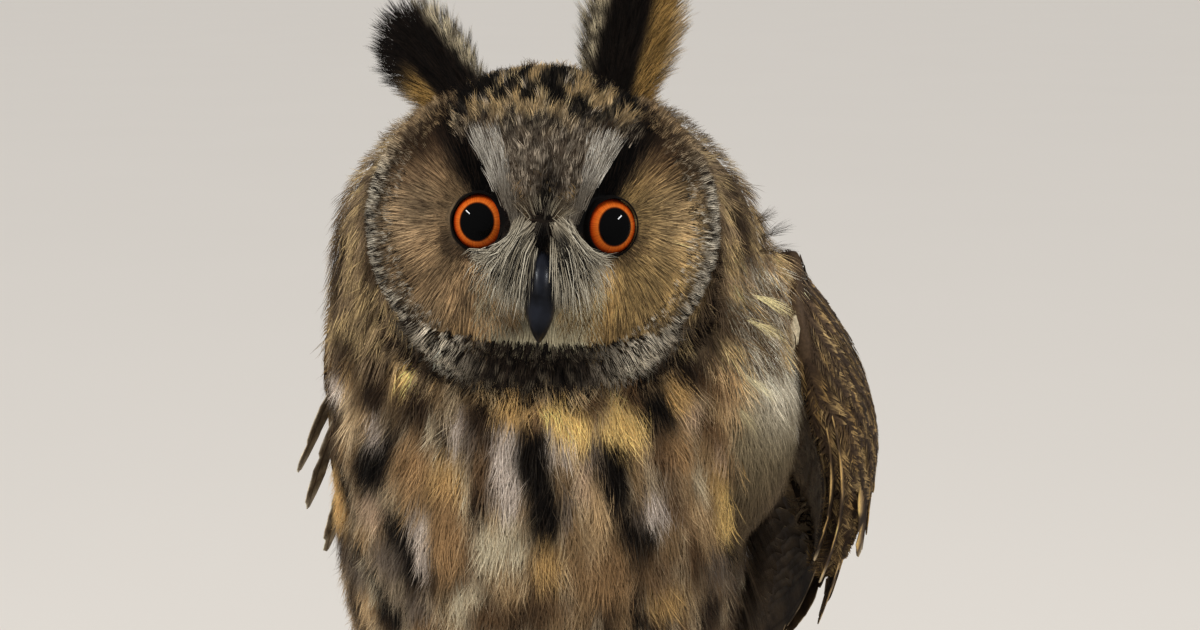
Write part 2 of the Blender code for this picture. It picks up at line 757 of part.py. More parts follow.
def toe(side, turn, length, half_width):
    """A feathered toe, flat on the floor from half way to its end."""
    start, heading = toe_frame(side, turn)
    across = Vector((-heading.y, heading.x, 0.0))
    half = ((0.45, 0.0), (0.95, 0.24), (1.0, 0.52), (0.6, 0.9), (0.0, 1.0))
    outline = half + tuple((-w, h) for w, h in half[-2::-1])
    rings = []
    stations = (
        # share of the length, width, height, how far the sole is off the floor
        (0.04, 1.0, 1.0, 1.3),
        (0.3, 0.94, 0.98, 0.5),
        (0.5, 1.0, 0.94, 0.0),
        (0.82, 0.9, 0.84, 0.0),
        (1.0, 0.6, 0.64, 0.0),
    )
    for share, wide, high, lift in stations:
        centre = start + heading * length * share + Vector((0, 0, lift * half_width / 4))
        sideways = across * half_width * wide
        upwards = Vector((0, 0, TOE_HEIGHT * high))
        rings.append([centre + sideways * w + upwards * h for w, h in outline])
    return loft("toe", rings, "leg")


def foot(side):
    """Four toes and the pad that joins them."""
    sides = 10
    rings = []
    for height, radius in ((0.4, 5.0), (2.4, 6.2), (5.7, 6.2), (8.8, 5.0)):
        angles = [math.tau * (k + 0.3) / sides for k in range(sides)]
        middle = Vector((side * LEG_ACROSS, FOOT_Y, height))
        rings.append([middle + radius * Vector((math.cos(a), math.sin(a), 0)) for a in angles])
    made = loft("foot", rings, "leg")
    return boolean(made, [toe(side, turn, length, half) for _, turn, length, half in TOES], "UNION")


def whole_leg(side, room):
    """One leg made in one piece, cut clear of the body, and parted at its heel and ankle."""
    place = "left" if side > 0 else "right"
    made = cut_away(boolean(foot(side), [shank(side), thigh(side)], "UNION"), room)
    upper = sliced(copy_of(made, f"thigh_{place}"), HEEL_CUT, 1)
    lower = sliced(sliced(copy_of(made, f"leg_{place}"), HEEL_CUT, -1), ANKLE_CUT, 1)
    base = sliced(copy_of(made, f"foot_{place}"), ANKLE_CUT, -1)
    bpy.data.objects.remove(made)
    claws = [claw(side, toe_name, turn, length) for toe_name, turn, length, _ in TOES]
    return [upper, lower, base] + [cut_clear(made, base) for made in claws]


def claw(side, toe_name, turn, length):
    """A long curved claw from the end of its toe down to just above the floor."""
    start, heading = toe_frame(side, turn)
    root = start + heading * (length - 1.4) + Vector((0, 0, 3.4))
    across = Vector((-heading.y, heading.x, 0.0))
    rings = []
    for i in range(5):
        share = i / 4
        bend = math.radians(38.0 - 100.0 * share)
        middle = math.radians(38.0 - 50.0 * share)
        chord = heading * math.cos(middle) + Vector((0, 0, math.sin(middle)))
        centre = root + chord * CLAW_LENGTH * share
        normal = Vector((0, 0, math.cos(bend))) - heading * math.sin(bend)
        radius = 1.9 * (1 - share) ** 0.75 + 0.28
        angles = [math.tau * k / 6 for k in range(6)]
        rings.append([centre + radius * (across * math.cos(a) + normal * math.sin(a)) for a in angles])
    place = "left" if side > 0 else "right"
    return loft(f"claw_{place}_{toe_name}", rings, "bill")


def centre_on_floor(parts):
    """Hangs every part from one empty, set so that the origin is under the middle of the box."""
    owl = bpy.data.objects.new("owl", None)
    bpy.context.scene.collection.objects.link(owl)
    corners = np.array([v.co for part in parts for v in part.data.vertices])
    low, high = corners.min(0), corners.max(0)
    owl.location = (-(low[0] + high[0]) / 2, -(low[1] + high[1]) / 2, -low[2])
    for part in parts:
        part.parent = owl
        shade(part)


def whole_body(grow):
    """Head, neck and torso in one piece, at their own size or grown by GAP."""
    pieces = [
        loft("body", body_rings(), "plumage"),
        ball("flank", FLANK_CENTRE, FLANK_RADII, "plumage", 18, 12),
        head_skin(),
    ]
    if grow:
        pieces = [swollen(piece) for piece in pieces]
    return keep_largest(boolean(pieces[0], pieces[1:], "UNION"))


def build():
    clear_scene()
    whole = whole_body(grow=False)
    room = whole_body(grow=True)

    head = sliced(copy_of(whole, "head"), HEAD_CUT, 1)
    neck = sliced(sliced(copy_of(whole, "neck"), HEAD_CUT, -1), NECK_CUT, 1)
    torso = sliced(copy_of(whole, "torso"), NECK_CUT, -1)

    boolean(head, [lid_ring(-1), lid_ring(1)], "UNION")
    eyes = [eye(-1), eye(1)]
    cut_clear(head, *eyes)
    bill_upper = cut_away(upper_bill(), room)
    bill_lower = cut_away(cut_clear(lower_bill(), bill_upper), room)
    tufts = [tuft("tuft_right", -1, TUFT_RIGHT, 7.0), tuft("tuft_left", 1, TUFT_LEFT, 10.0)]
    feathered = [cut_away(made, room, "MANIFOLD") for made in (*tufts, tail(), right_wing(), left_wing())]
    legs = whole_leg(-1, room) + whole_leg(1, room)
    for helper in (whole, room):
        bpy.data.objects.remove(helper)
    parts = [head, neck, torso, *eyes, bill_upper, bill_lower, *feathered, *legs]
    centre_on_floor(parts)


build()
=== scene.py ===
"""The looks of a long-eared owl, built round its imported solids.

Places are in millimetres in the owl's own frame (it faces -Y, +X is its left, +Z is up) until a
mesh is made. One skin replaces the solids of flesh. Feathers are meshes on it: each grows along a
line that follows the skin, and carries the markings of the place where it is rooted.
"""

import itertools
import math

import bmesh
import bpy
import numpy as np
from mathutils import Matrix, Vector
from mathutils.bvhtree import BVHTree


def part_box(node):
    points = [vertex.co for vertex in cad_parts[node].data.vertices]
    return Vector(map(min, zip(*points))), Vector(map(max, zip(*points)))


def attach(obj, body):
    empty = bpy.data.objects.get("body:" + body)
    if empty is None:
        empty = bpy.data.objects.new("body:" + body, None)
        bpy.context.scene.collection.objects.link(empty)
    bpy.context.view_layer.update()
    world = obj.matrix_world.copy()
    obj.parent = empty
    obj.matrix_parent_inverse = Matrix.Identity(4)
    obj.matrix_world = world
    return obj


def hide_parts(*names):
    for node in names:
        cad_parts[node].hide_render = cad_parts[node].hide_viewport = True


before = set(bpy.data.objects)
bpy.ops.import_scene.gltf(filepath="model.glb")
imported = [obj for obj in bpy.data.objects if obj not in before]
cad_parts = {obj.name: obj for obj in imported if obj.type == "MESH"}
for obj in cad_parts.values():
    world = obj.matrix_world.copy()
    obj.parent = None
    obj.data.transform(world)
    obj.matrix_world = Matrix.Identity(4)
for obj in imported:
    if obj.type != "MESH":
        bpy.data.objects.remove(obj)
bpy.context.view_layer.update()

MM = 0.001
PATCH = 0.003
PIECE_LIMIT = 180000
# How many places are compared with the body at a time
CHUNK = 20000
# Scattering: darts thrown for each place, and the nearest two roots come, as a share of the spacing
DARTS = 5
CLOSEST = 0.82

# The photo's view: sizes in pixels, the place that the camera looks at, and the camera
PHOTO_WIDTH = 1200
PHOTO_MIDDLE = (600, 315)
FACE_PIXEL = (543, 222)
FACE_FRONT = np.array((0.0, -52.0, 247.0))
CAMERA_DISTANCE = 0.5
CAMERA_RISE = math.radians(8.0)
LENS = 57.7

# The solids' own driving sizes
FACE_CENTRE = np.array((0.0, -42.0, 245.0))
FACE_PITCH = math.radians(-8.0)
FACE_ROLL = math.radians(2.1)
DISC_HALF_WIDTH = 48.0
DISC_HALF_HEIGHT = 43.5
EYE_ACROSS = 15.8
EYE_FORWARD = -0.6
EYE_RADIUS = 9.2
BODY_SECTIONS = (
    (0.0, 112.0, 84.0, 60.0, 17.0, 10.0, 11.0),
    (0.0, 92.0, 90.0, 52.0, 36.0, 22.0, 37.0),
    (0.0, 66.0, 97.0, 42.0, 52.0, 36.0, 63.0),
    (0.0, 40.0, 116.0, 30.0, 60.0, 47.0, 73.0),
    (0.0, 22.0, 144.0, 18.0, 63.0, 55.0, 70.0),
    (0.0, 12.0, 174.0, 10.0, 63.0, 57.0, 66.0),
    (0.5, 7.0, 203.0, 5.0, 64.5, 55.0, 52.0),
    (1.7, 5.0, 228.0, 2.0, 65.5, 49.0, 41.0),
    (1.7, 3.0, 247.0, 0.0, 61.5, 43.0, 37.0),
    (1.0, 1.0, 261.0, 0.0, 52.0, 36.0, 33.0),
    (0.5, 0.0, 274.0, 0.0, 37.5, 27.0, 26.0),
    (0.0, 0.0, 282.0, 0.0, 20.0, 15.0, 15.0),
    (0.0, 0.0, 285.0, 0.0, 6.0, 5.0, 5.0),
)
FLANK_CENTRE = np.array((49.0, 0.0, 187.0))
FLANK_RADII = np.array((28.0, 34.0, 44.0))
LEG_ACROSS = 25.0
LEG_TOP = 84.0
FOOT_Y = 9.0
TRUNK_TOP = 208.0
TRUNK_FOOT = 70.0
TOES = (("inner", -24.0, 25.0), ("middle", 12.0, 28.0), ("outer", 68.0, 23.0), ("hind", 176.0, 16.0))
CLAW_LENGTH = 12.5
RIGHT_WING_AXIS = ((-38.0, 34.0, 212.0), (-38.0, 64.0, 166.0), (-31.0, 113.0, 106.0), (-17.0, 203.0, 41.0))
LEFT_WING_AXIS = ((72.0, 6.0, 218.0), (93.0, 35.0, 172.0), (87.0, 102.0, 104.0), (56.0, 192.0, 42.0))
TAIL_AXIS = ((0.0, 98.0, 90.0), (0.0, 158.0, 50.0), (0.0, 217.0, 5.0))
TUFT_RIGHT = ((-17.5, -36.0, 272.5), (-44.0, -14.0, 302.0), (-0.35, -0.85, 0.1))
TUFT_LEFT = ((18.5, -33.0, 274.0), (29.0, -22.0, 317.0), (0.1, -0.95, 0.1))

SHOULDERS = (((-38.0, 33.0, 211.0), (16.0, 18.0, 19.0)), ((63.0, 8.0, 213.0), (17.0, 21.0, 20.0)))
RUFFLED = (((16, -20, 1), (42, -42, 11)), ((27, -24, 1.5), (55, -44, 10)), ((46, -26, 2), (76, -44, 8)))

# The skin
FLESH = ("head", "neck", "torso") + tuple(
    f"{part}_{side}" for part in ("thigh", "leg", "foot") for side in ("left", "right")
)
VOXEL = 2.0
SKIN_DEPTH = 4.2
FACE_SKIN_DEPTH = 2.2
LEG_SKIN_DEPTH = 1.2

# The eye: sizes seen from in front
IRIS_RADIUS = 7.1
PUPIL_RADIUS = 4.9
EYE_TURNS = {-1: math.radians(11.0), 1: math.radians(22.0)}
EYE_NARROW = 1.07
EYE_TALL = 0.965

# Colours of the plumage, as red, green and blue on a screen
BLACK = (14, 11, 9)
DARK = (38, 28, 20)
BROWN = (98, 74, 50)
OCHRE = (190, 154, 98)
GOLD = (232, 196, 122)
BUFF = (186, 156, 114)
CREAM = (206, 194, 164)
EYE_BLACK = (6.6, 6.6, 6.6)


def linear(colour):
    """Screen colours of 0 to 255 as the renderer's linear values."""
    share = np.clip(np.asarray(colour, float) / 255.0, 0.0, 1.0)
    return np.where(share <= 0.04045, share / 12.92, ((share + 0.055) / 1.055) ** 2.4)


def ramp(value, low, high):
    """0 at low and 1 at high, smoothly."""
    f = np.clip((value - low) / (high - low), 0.0, 1.0)
    return f * f * (3 - 2 * f)


def bump(distance, width):
    return np.exp(-((distance / width) ** 2))


def blend(first, second, share):
    """Two colours, or arrays of them, mixed by an array of shares."""
    first, second = np.asarray(first, float), np.asarray(second, float)
    return first + (second - first) * np.asarray(share)[..., None]


def unit(vectors):
    return vectors / np.maximum(np.linalg.norm(vectors, axis=-1, keepdims=True), 1e-9)


def cloud(places, size, seed):
    """A smooth random share at each place, in spots about size across."""
    rng = np.random.default_rng(seed)
    total = 0.0
    for _ in range(9):
        wave = unit(rng.normal(0, 1, 3)) * math.tau / (size * rng.uniform(1.4, 3.0))
        total = total + np.sin(places @ wave + rng.uniform(0, math.tau))
    return 0.5 + 0.5 * np.tanh(0.6 * total)


def spline_weights(share, count):
    """How much each of count even stations weighs at each share of the way, by Catmull-Rom."""
    share = np.clip(np.asarray(share, float), 0.0, 1.0) * (count - 1)
    low = np.minimum(share.astype(int), count - 2)
    f = share - low
    weights = np.zeros((len(share), count))
    rows = np.arange(len(share))
    parts = (
        (-1, -0.5 * f + f**2 - 0.5 * f**3),
        (0, 1 - 2.5 * f**2 + 1.5 * f**3),
        (1, 0.5 * f + 2 * f**2 - 1.5 * f**3),
        (2, -0.5 * f**2 + 0.5 * f**3),
    )
    for step, part in parts:
        np.add.at(weights, (rows, np.clip(low + step, 0, count - 1)), part)
    return weights


def spline(rows, count):
    """Rows of numbers read at even steps along a Catmull-Rom curve through them."""
    rows = np.array(rows, float)
    return spline_weights(np.linspace(0, 1, count), len(rows)) @ rows


FACE_TURN = Matrix.Rotation(FACE_ROLL, 3, "Y") @ Matrix.Rotation(FACE_PITCH, 3, "X")
FACE_AXES = np.array(FACE_TURN)


def on_face(across, up, forward):
    """A place of the face in the owl's own frame."""
    return FACE_AXES @ np.array((across, -forward, up)) + FACE_CENTRE


def face_of(places):
    """How far across, up and forward on the face each place is."""
    found = (places - FACE_CENTRE) @ FACE_AXES
    return found[..., 0], found[..., 2], -found[..., 1]


def face_vector(across, up, forward):
    return np.stack([across, -forward, up], -1) @ FACE_AXES.T


BODY = spline(BODY_SECTIONS, 240)
BODY_LEAN = np.radians(BODY[:, 3])
BODY_BACK = np.stack([0 * BODY_LEAN, np.cos(BODY_LEAN), np.sin(BODY_LEAN)], 1)
BODY_HEAD = np.stack([0 * BODY_LEAN, -np.sin(BODY_LEAN), np.cos(BODY_LEAN)], 1)


def body_of(places):
    """The body section nearest to each place, and the place's x and y in that section."""
    flat = places.reshape(-1, 3)
    nearest = np.zeros(len(flat), int)
    for start in range(0, len(flat), CHUNK):
        offset = flat[start : start + CHUNK, None] - BODY[None, :, :3]
        nearest[start : start + CHUNK] = np.abs((offset * BODY_HEAD).sum(-1)).argmin(1)
    offset = flat - BODY[nearest, :3]
    return nearest, offset[:, 0], (offset * BODY_BACK[nearest]).sum(1), (offset * BODY_HEAD[nearest]).sum(1)


def outside_body(places, clearance):
    """Places moved out where they would lie nearer than clearance to the solid body."""
    flat = places.reshape(-1, 3)
    nearest, x, y, along = body_of(flat)
    depth = np.where(y > 0, BODY[nearest, 5], BODY[nearest, 6]) + clearance
    reach = np.hypot(x / (BODY[nearest, 4] + clearance), y / depth)
    shrink = np.where(reach < 1, 1 / np.maximum(reach, 1e-6), 1.0)
    moved = BODY[nearest, :3] + BODY_BACK[nearest] * (y * shrink)[:, None]
    moved += BODY_HEAD[nearest] * along[:, None]
    moved[:, 0] += x * shrink
    return moved.reshape(places.shape)


def owl_origin():
    """Where the owl's own origin lies in the frame, from the middles of its two eyes."""
    corners = [corner for name in ("eye_left", "eye_right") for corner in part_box(name)]
    middle = np.array(sum(corners, Vector()) / 4) / MM
    return middle - on_face(0.0, 0.0, EYE_FORWARD)


ORIGIN = owl_origin()


def to_world(places):
    return (places + ORIGIN) * MM


# Materials

def shader_of(name, roughness, **fixed):
    """A new node material and its Principled shader, with fixed numbers on the shader's sockets."""
    made = bpy.data.materials.new(name)
    made.use_nodes = True
    shader = made.node_tree.nodes["Principled BSDF"]
    shader.inputs["Roughness"].default_value = roughness
    for socket, value in fixed.items():
        shader.inputs[socket.replace("_", " ")].default_value = value
    return made, shader


def node(tree, kind, values=(), **settings):
    """A node with its settings, and its inputs by index set to a value or linked to a socket."""
    made = tree.nodes.new(kind)
    for name, value in settings.items():
        setattr(made, name, value)
    for index, value in dict(values).items():
        if isinstance(value, bpy.types.NodeSocket):
            tree.links.new(value, made.inputs[index])
        else:
            made.inputs[index].default_value = value
    return made


def noise(tree, scale, detail=2.0, stretch=(1.0, 1.0, 1.0)):
    place = node(tree, "ShaderNodeTexCoord").outputs["Object"]
    mapped = node(tree, "ShaderNodeMapping", {0: place, 3: stretch}).outputs[0]
    return node(tree, "ShaderNodeTexNoise", {"Vector": mapped, "Scale": scale, "Detail": detail}).outputs[0]


def spread(tree, value, low, high, to_low, to_high):
    ranged = {0: value, 1: low, 2: high, 3: to_low, 4: to_high}
    return node(tree, "ShaderNodeMapRange", ranged).outputs[0]


def scaled(tree, colour, share):
    return node(tree, "ShaderNodeVectorMath", {0: colour, 3: share}, operation="SCALE").outputs[0]


def mixed(tree, share, low, high):
    """A mix of two colours, each a screen colour or a socket."""
    ends = [end if isinstance(end, bpy.types.NodeSocket) else (*linear(end), 1.0) for end in (low, high)]
    return node(tree, "ShaderNodeMix", {0: share, 6: ends[0], 7: ends[1]}, data_type="RGBA").outputs[2]


def plumage_material(name, grain, roughness=0.78):
    """The painted colour of each point with a fine mottling of its own."""
    made, shader = shader_of(name, roughness, Sheen_Weight=0.02, Specular_IOR_Level=0.15)
    tree = made.node_tree
    paint = node(tree, "ShaderNodeAttribute", attribute_name="Paint").outputs["Color"]
    fine = spread(tree, noise(tree, 1300.0, 3.0), 0.35, 0.65, 1.0 - grain, 1.0 + grain)
    tree.links.new(scaled(tree, paint, fine), shader.inputs["Base Color"])
    rough = spread(tree, noise(tree, 400.0), 0.3, 0.7, roughness - 0.08, roughness + 0.08)
    tree.links.new(rough, shader.inputs["Roughness"])
    return made


def horn_material(name, low, high, roughness, coat):
    """Horn: a dark colour that clouds along its length, with faint growth lines."""
    made, shader = shader_of(name, roughness, Coat_Weight=coat, Coat_Roughness=0.15)
    tree = made.node_tree
    clouds = spread(tree, noise(tree, 160.0, 3.0), 0.35, 0.7, 0.0, 1.0)
    tree.links.new(mixed(tree, clouds, low, high), shader.inputs["Base Color"])
    lines = noise(tree, 900.0, 2.0, (1.0, 1.0, 0.25))
    raised = node(tree, "ShaderNodeBump", {"Strength": 0.15, "Distance": 0.0003, "Height": lines})
    tree.links.new(raised.outputs[0], shader.inputs["Normal"])
    return made


def eye_material():
    """A black pupil, an orange iris with fine spokes and a dark edge, and a wet coat over both."""
    made, shader = shader_of("eye_surface", 0.4, Coat_Weight=1.0, Coat_Roughness=0.02, Coat_IOR=1.4,
                             Specular_IOR_Level=0.0)
    tree = made.node_tree
    place = node(tree, "ShaderNodeTexCoord").outputs["Object"]
    narrowed = {0: place, 1: (EYE_NARROW, EYE_TALL, 0.0)}
    level = node(tree, "ShaderNodeVectorMath", narrowed, operation="MULTIPLY").outputs[0]
    reach = node(tree, "ShaderNodeVectorMath", {0: level}, operation="LENGTH").outputs[1]
    heading = node(tree, "ShaderNodeVectorMath", {0: level}, operation="NORMALIZE").outputs[0]
    spokes = node(tree, "ShaderNodeTexNoise", {"Vector": heading, "Scale": 26.0, "Detail": 4.0}).outputs[0]
    inner, outer = PUPIL_RADIUS * MM, IRIS_RADIUS * MM
    colours = node(tree, "ShaderNodeValToRGB", {0: spread(tree, reach, inner, outer, 0.0, 1.0)})
    stops = colours.color_ramp.elements
    stops[0].position, stops[0].color = 0.0, (*linear((140, 60, 16)), 1.0)
    stops[1].position, stops[1].color = 1.0, (*linear((60, 20, 6)), 1.0)
    for position, colour in ((0.14, (206, 104, 34)), (0.55, (196, 84, 22)), (0.8, (158, 52, 12))):
        stop = stops.new(position)
        stop.color = (*linear(colour), 1.0)
    shade = spread(tree, spokes, 0.3, 0.7, 0.6, 1.2)
    iris = scaled(tree, colours.outputs[0], shade)
    edge = spread(tree, reach, inner - 0.0002, inner + 0.0002, 0.0, 1.0)
    open_eye = mixed(tree, edge, EYE_BLACK, iris)
    rim = spread(tree, reach, outer - 0.0001, outer + 0.0004, 0.0, 1.0)
    tree.links.new(mixed(tree, rim, open_eye, EYE_BLACK), shader.inputs["Base Color"])
    return made


def floor_material():
    made, shader = shader_of("floor_surface", 0.6)
    tree = made.node_tree
    clouds = spread(tree, noise(tree, 3.0, 4.0), 0.3, 0.7, 0.0, 1.0)
    pale = mixed(tree, clouds, (216, 211, 203), (217, 212, 204))
    tree.links.new(pale, shader.inputs["Base Color"])
    return made


SOFT = plumage_material("soft_plumage", 0.22)
FINE = plumage_material("face_plumage", 0.16)
FIRM = plumage_material("firm_plumage", 0.2, 0.62)
BARE = plumage_material("bare_skin", 0.2, 0.55)


# Meshes

def piece(name, points, faces, material, paint=None, uv=None, nodes=()):
    """A mesh piece on the body, from arrays of places in millimetres and of triangles."""
    mesh = bpy.data.meshes.new(name)
    mesh.vertices.add(len(points))
    mesh.vertices.foreach_set("co", to_world(points).astype(np.float32).ravel())
    mesh.loops.add(len(faces) * 3)
    mesh.loops.foreach_set("vertex_index", faces.astype(np.int32).ravel())
    mesh.polygons.add(len(faces))
    mesh.polygons.foreach_set("loop_start", np.arange(len(faces), dtype=np.int32) * 3)
    mesh.polygons.foreach_set("loop_total", np.full(len(faces), 3, np.int32))
    mesh.update(calc_edges=True)
    if paint is not None:
        layer = mesh.color_attributes.new("Paint", "FLOAT_COLOR", "POINT")
        layer.data.foreach_set("color", np.column_stack([linear(paint), np.ones(len(paint))]).ravel())
    if uv is not None:
        layer = mesh.uv_layers.new(name="OFBake")
        layer.data.foreach_set("uv", np.clip(uv, 0, 1)[faces.ravel()].astype(np.float32).ravel())
    mesh.materials.append(material)
    mesh.shade_smooth()
    made = bpy.data.objects.new(name, mesh)
    bpy.context.scene.collection.objects.link(made)
    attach(made, "root")
    if nodes:
        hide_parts(*nodes)


def loft_faces(rings, sides, first=0, caps=True):
    """Triangles over rings of points, each end closed by a fan."""
    faces = []
    for r in range(rings - 1):
        for k in range(sides):
            a, b = first + r * sides + k, first + r * sides + (k + 1) % sides
            faces += [(a, b, b + sides), (a, b + sides, a + sides)]
    if caps:
        for k in range(1, sides - 1):
            last = first + (rings - 1) * sides
            faces += [(first, first + k + 1, first + k), (last, last + k, last + k + 1)]
    return np.array(faces)


class Skin:
    """A closed surface: its triangles, its normals, and the place on it nearest to any point."""

    def __init__(self, points, triangles):
        corners = points[triangles]
        if np.einsum("ij,ij->i", corners[:, 0], np.cross(corners[:, 1], corners[:, 2])).sum() < 0:
            triangles, corners = triangles[:, ::-1], corners[:, ::-1]
        self.points, self.triangles = points, triangles
        across = np.cross(corners[:, 1] - corners[:, 0], corners[:, 2] - corners[:, 0])
        self.areas = np.linalg.norm(across, axis=1) / 2
        normals = np.zeros_like(points)
        for k in range(3):
            np.add.at(normals, triangles[:, k], across)
        self.normals = unit(normals)
        self.tree = BVHTree.FromPolygons(points.tolist(), triangles.tolist(), all_triangles=True)

    def nearest(self, places):
        flat = places.reshape(-1, 3)
        found = [self.tree.find_nearest(p) for p in flat.tolist()]
        spots = np.array([f[0] for f in found])
        triangle = self.triangles[[f[2] for f in found]]
        corners = self.points[triangle]
        weights = 1 / (np.linalg.norm(corners - spots[:, None], axis=2) + 0.05)
        normals = unit((self.normals[triangle] * weights[..., None]).sum(1))
        return spots.reshape(places.shape), normals.reshape(places.shape)

    def scatter(self, spacing, region, seed):
        """Roots about spacing apart over the part of the skin where region holds."""
        rng = np.random.default_rng(seed)
        middles = self.points[self.triangles].mean(1)
        chance = self.areas * region(middles)
        count = int(chance.sum() / spacing**2 * DARTS)
        chosen = rng.choice(len(chance), count, p=chance / chance.sum())
        weights = rng.dirichlet((1, 1, 1), count)
        darts = (self.points[self.triangles[chosen]] * weights[..., None]).sum(1)
        taken = {}
        kept = []
        cells = map(tuple, np.floor(darts / spacing).astype(int))
        around = list(itertools.product((-1, 0, 1), repeat=3))
        for i, (cell, dart) in enumerate(zip(cells, darts.tolist())):
            near = (other for step in around for other in taken.get(tuple(map(sum, zip(cell, step))), ()))
            if all(math.dist(dart, other) > spacing * CLOSEST for other in near):
                taken.setdefault(cell, []).append(dart)
                kept.append(i)
        return darts[kept]

    def follow(self, roots, lie, lengths, steps, stiff=0.5):
        """Lines that leave the roots along the lie and stay on the skin: places and normals."""
        place, normal = self.nearest(roots)
        places, normals = [place], [normal]
        heading = None
        for _ in range(steps):
            wanted = lie(place)
            if heading is not None:
                wanted = unit(wanted) * (1 - stiff) + heading * stiff
            heading = unit(wanted - normal * (wanted * normal).sum(-1, keepdims=True))
            place, normal = self.nearest(place + heading * (lengths / steps)[:, None])
            places.append(place)
            normals.append(normal)
        return np.array(places), np.array(normals)


def grow_skin():
    """One closed skin from the solids of flesh and the eyes, smoothed, and sunk by the coat's depth."""
    work = bmesh.new()
    for name in FLESH + ("eye_left", "eye_right"):
        work.from_mesh(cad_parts[name].data)
    for centre, radii in SHOULDERS:
        shape = Matrix.Diagonal((*(np.array(radii) * MM), 1.0))
        place = Matrix.Translation(to_world(np.array(centre)))
        bmesh.ops.create_icosphere(work, subdivisions=4, radius=1.0, matrix=place @ shape)
    mesh = bpy.data.meshes.new("flesh")
    work.to_mesh(mesh)
    work.free()
    rough = bpy.data.objects.new("flesh", mesh)
    bpy.context.scene.collection.objects.link(rough)
    remesh = rough.modifiers.new("voxels", "REMESH")
    remesh.mode = "VOXEL"
    remesh.voxel_size = VOXEL * MM
    triangulate = rough.modifiers.new("triangles", "TRIANGULATE")
    triangulate.quad_method = "FIXED"
    graph = bpy.context.evaluated_depsgraph_get()
    fine = bpy.data.meshes.new_from_object(rough.evaluated_get(graph))
    bpy.data.objects.remove(rough)
    points = np.empty(len(fine.vertices) * 3)
    fine.vertices.foreach_get("co", points)
    points = points.reshape(-1, 3) / MM - ORIGIN
    triangles = np.empty(len(fine.polygons) * 3, int)
    fine.polygons.foreach_get("vertices", triangles)
    triangles = triangles.reshape(-1, 3)
    edges = np.empty(len(fine.edges) * 2, int)
    fine.edges.foreach_get("vertices", edges)
    edges = edges.reshape(-1, 2)
    points = smoothed(points, edges, 4)
    skin = Skin(points, triangles)
    across, up, forward = face_of(points)
    on_head = ramp(forward, -16, -4) * (np.hypot(across / DISC_HALF_WIDTH, up / DISC_HALF_HEIGHT) < 1.08)
    on_leg = 1 - ramp(points[:, 2], 40, 62)
    depth = SKIN_DEPTH + (FACE_SKIN_DEPTH - SKIN_DEPTH) * on_head
    depth = depth + (LEG_SKIN_DEPTH - depth) * on_leg
    return Skin(smoothed(points - skin.normals * depth[:, None], edges, 3), triangles)


def smoothed(points, edges, rounds):
    counts = np.bincount(edges.ravel(), minlength=len(points))[:, None]
    for _ in range(rounds):
        total = np.zeros_like(points)
        np.add.at(total, edges[:, 0], points[edges[:, 1]])
        np.add.at(total, edges[:, 1], points[edges[:, 0]])
        points = 0.4 * points + 0.6 * total / counts
    return points


# Feather forms. A form is a flat pattern: s runs from root to tip, t across in half widths, h up.

class Form:
    """One feather's pattern as arrays, with the random share of the barb that each point is on."""

    def __init__(self):
        self.s, self.t, self.h, self.barb, self.faces = [], [], [], [], []

    def ribbon(self, middle, widths, barb):
        """A ribbon through middle places (s, t, h), as wide as (along s, along t), to a point."""
        first = len(self.s)
        for (s, t, h), (ws, wt) in zip(middle, widths):
            for side in (-1, 1) if ws or wt else (0,):
                self.s.append(s + side * ws)
                self.t.append(t + side * wt)
                self.h.append(h)
                self.barb.append(barb)
        count = len(middle)
        for i in range(count - 1):
            a = first + 2 * i
            if i < count - 2 or widths[-1] != (0, 0):
                self.faces += [(a, a + 1, a + 3), (a, a + 3, a + 2)]
            else:
                self.faces.append((a, a + 1, a + 2))

    def done(self):
        for name in ("s", "t", "h", "barb"):
            setattr(self, name, np.array(getattr(self, name)))
        self.faces = np.array(self.faces)
        return self


def contour_form(seed, barbs, slant, softness):
    """A soft body feather: barbs that leave a shaft on both sides and part at their ends."""
    rng = np.random.default_rng(seed)
    form = Form()
    for side in (-1, 1):
        for i in range(barbs):
            share = (i + rng.uniform(-0.3, 0.3)) / barbs
            root = 0.06 + 0.86 * share
            ahead = slant * (1 - 0.55 * share) * rng.uniform(0.8, 1.2)
            end = min(root + ahead, 1.0 + 0.05 * rng.uniform(-1, 1))
            out = math.sqrt(max(0.02, 1 - abs((end - 0.6) / 0.46) ** 2.4)) * rng.uniform(0.85, 1.1)
            width = 0.62 * 0.86 / barbs
            lift = rng.uniform(-1, 1) * softness
            middle = ((root, 0.0, 0.0), (root + 0.45 * (end - root), side * 0.62 * out, 0.5 * lift - 0.02))
            middle += ((end, side * out, lift - 0.12 * out),)
            form.ribbon(middle, ((width, 0.08), (width * 0.75, 0.05), (0, 0)), rng.uniform())
    return form.done()


def brush_form(seed, strands, reach, width, stations=(0.0, 0.4, 0.72, 1.0)):
    """A tuft of hair-like strands from one root, reach apart at their tips."""
    rng = np.random.default_rng(seed)
    form = Form()
    for k in range(strands):
        root = (2 * (k + rng.uniform(0.2, 0.8)) / strands - 1) * 0.8
        tip = root * reach + rng.uniform(-0.35, 0.35)
        length = rng.uniform(0.72, 1.0)
        lift = rng.uniform(-1, 1)
        start = rng.uniform(0.0, 0.12)
        middle, widths = [], []
        for v in stations:
            middle.append((start + (length - start) * v, root + (tip - root) * v**1.4, lift * v))
            widths.append((0, width * (1 - v) ** 0.5) if v < 1 else (0, 0))
        form.ribbon(middle, widths, rng.uniform())
    return form.done()


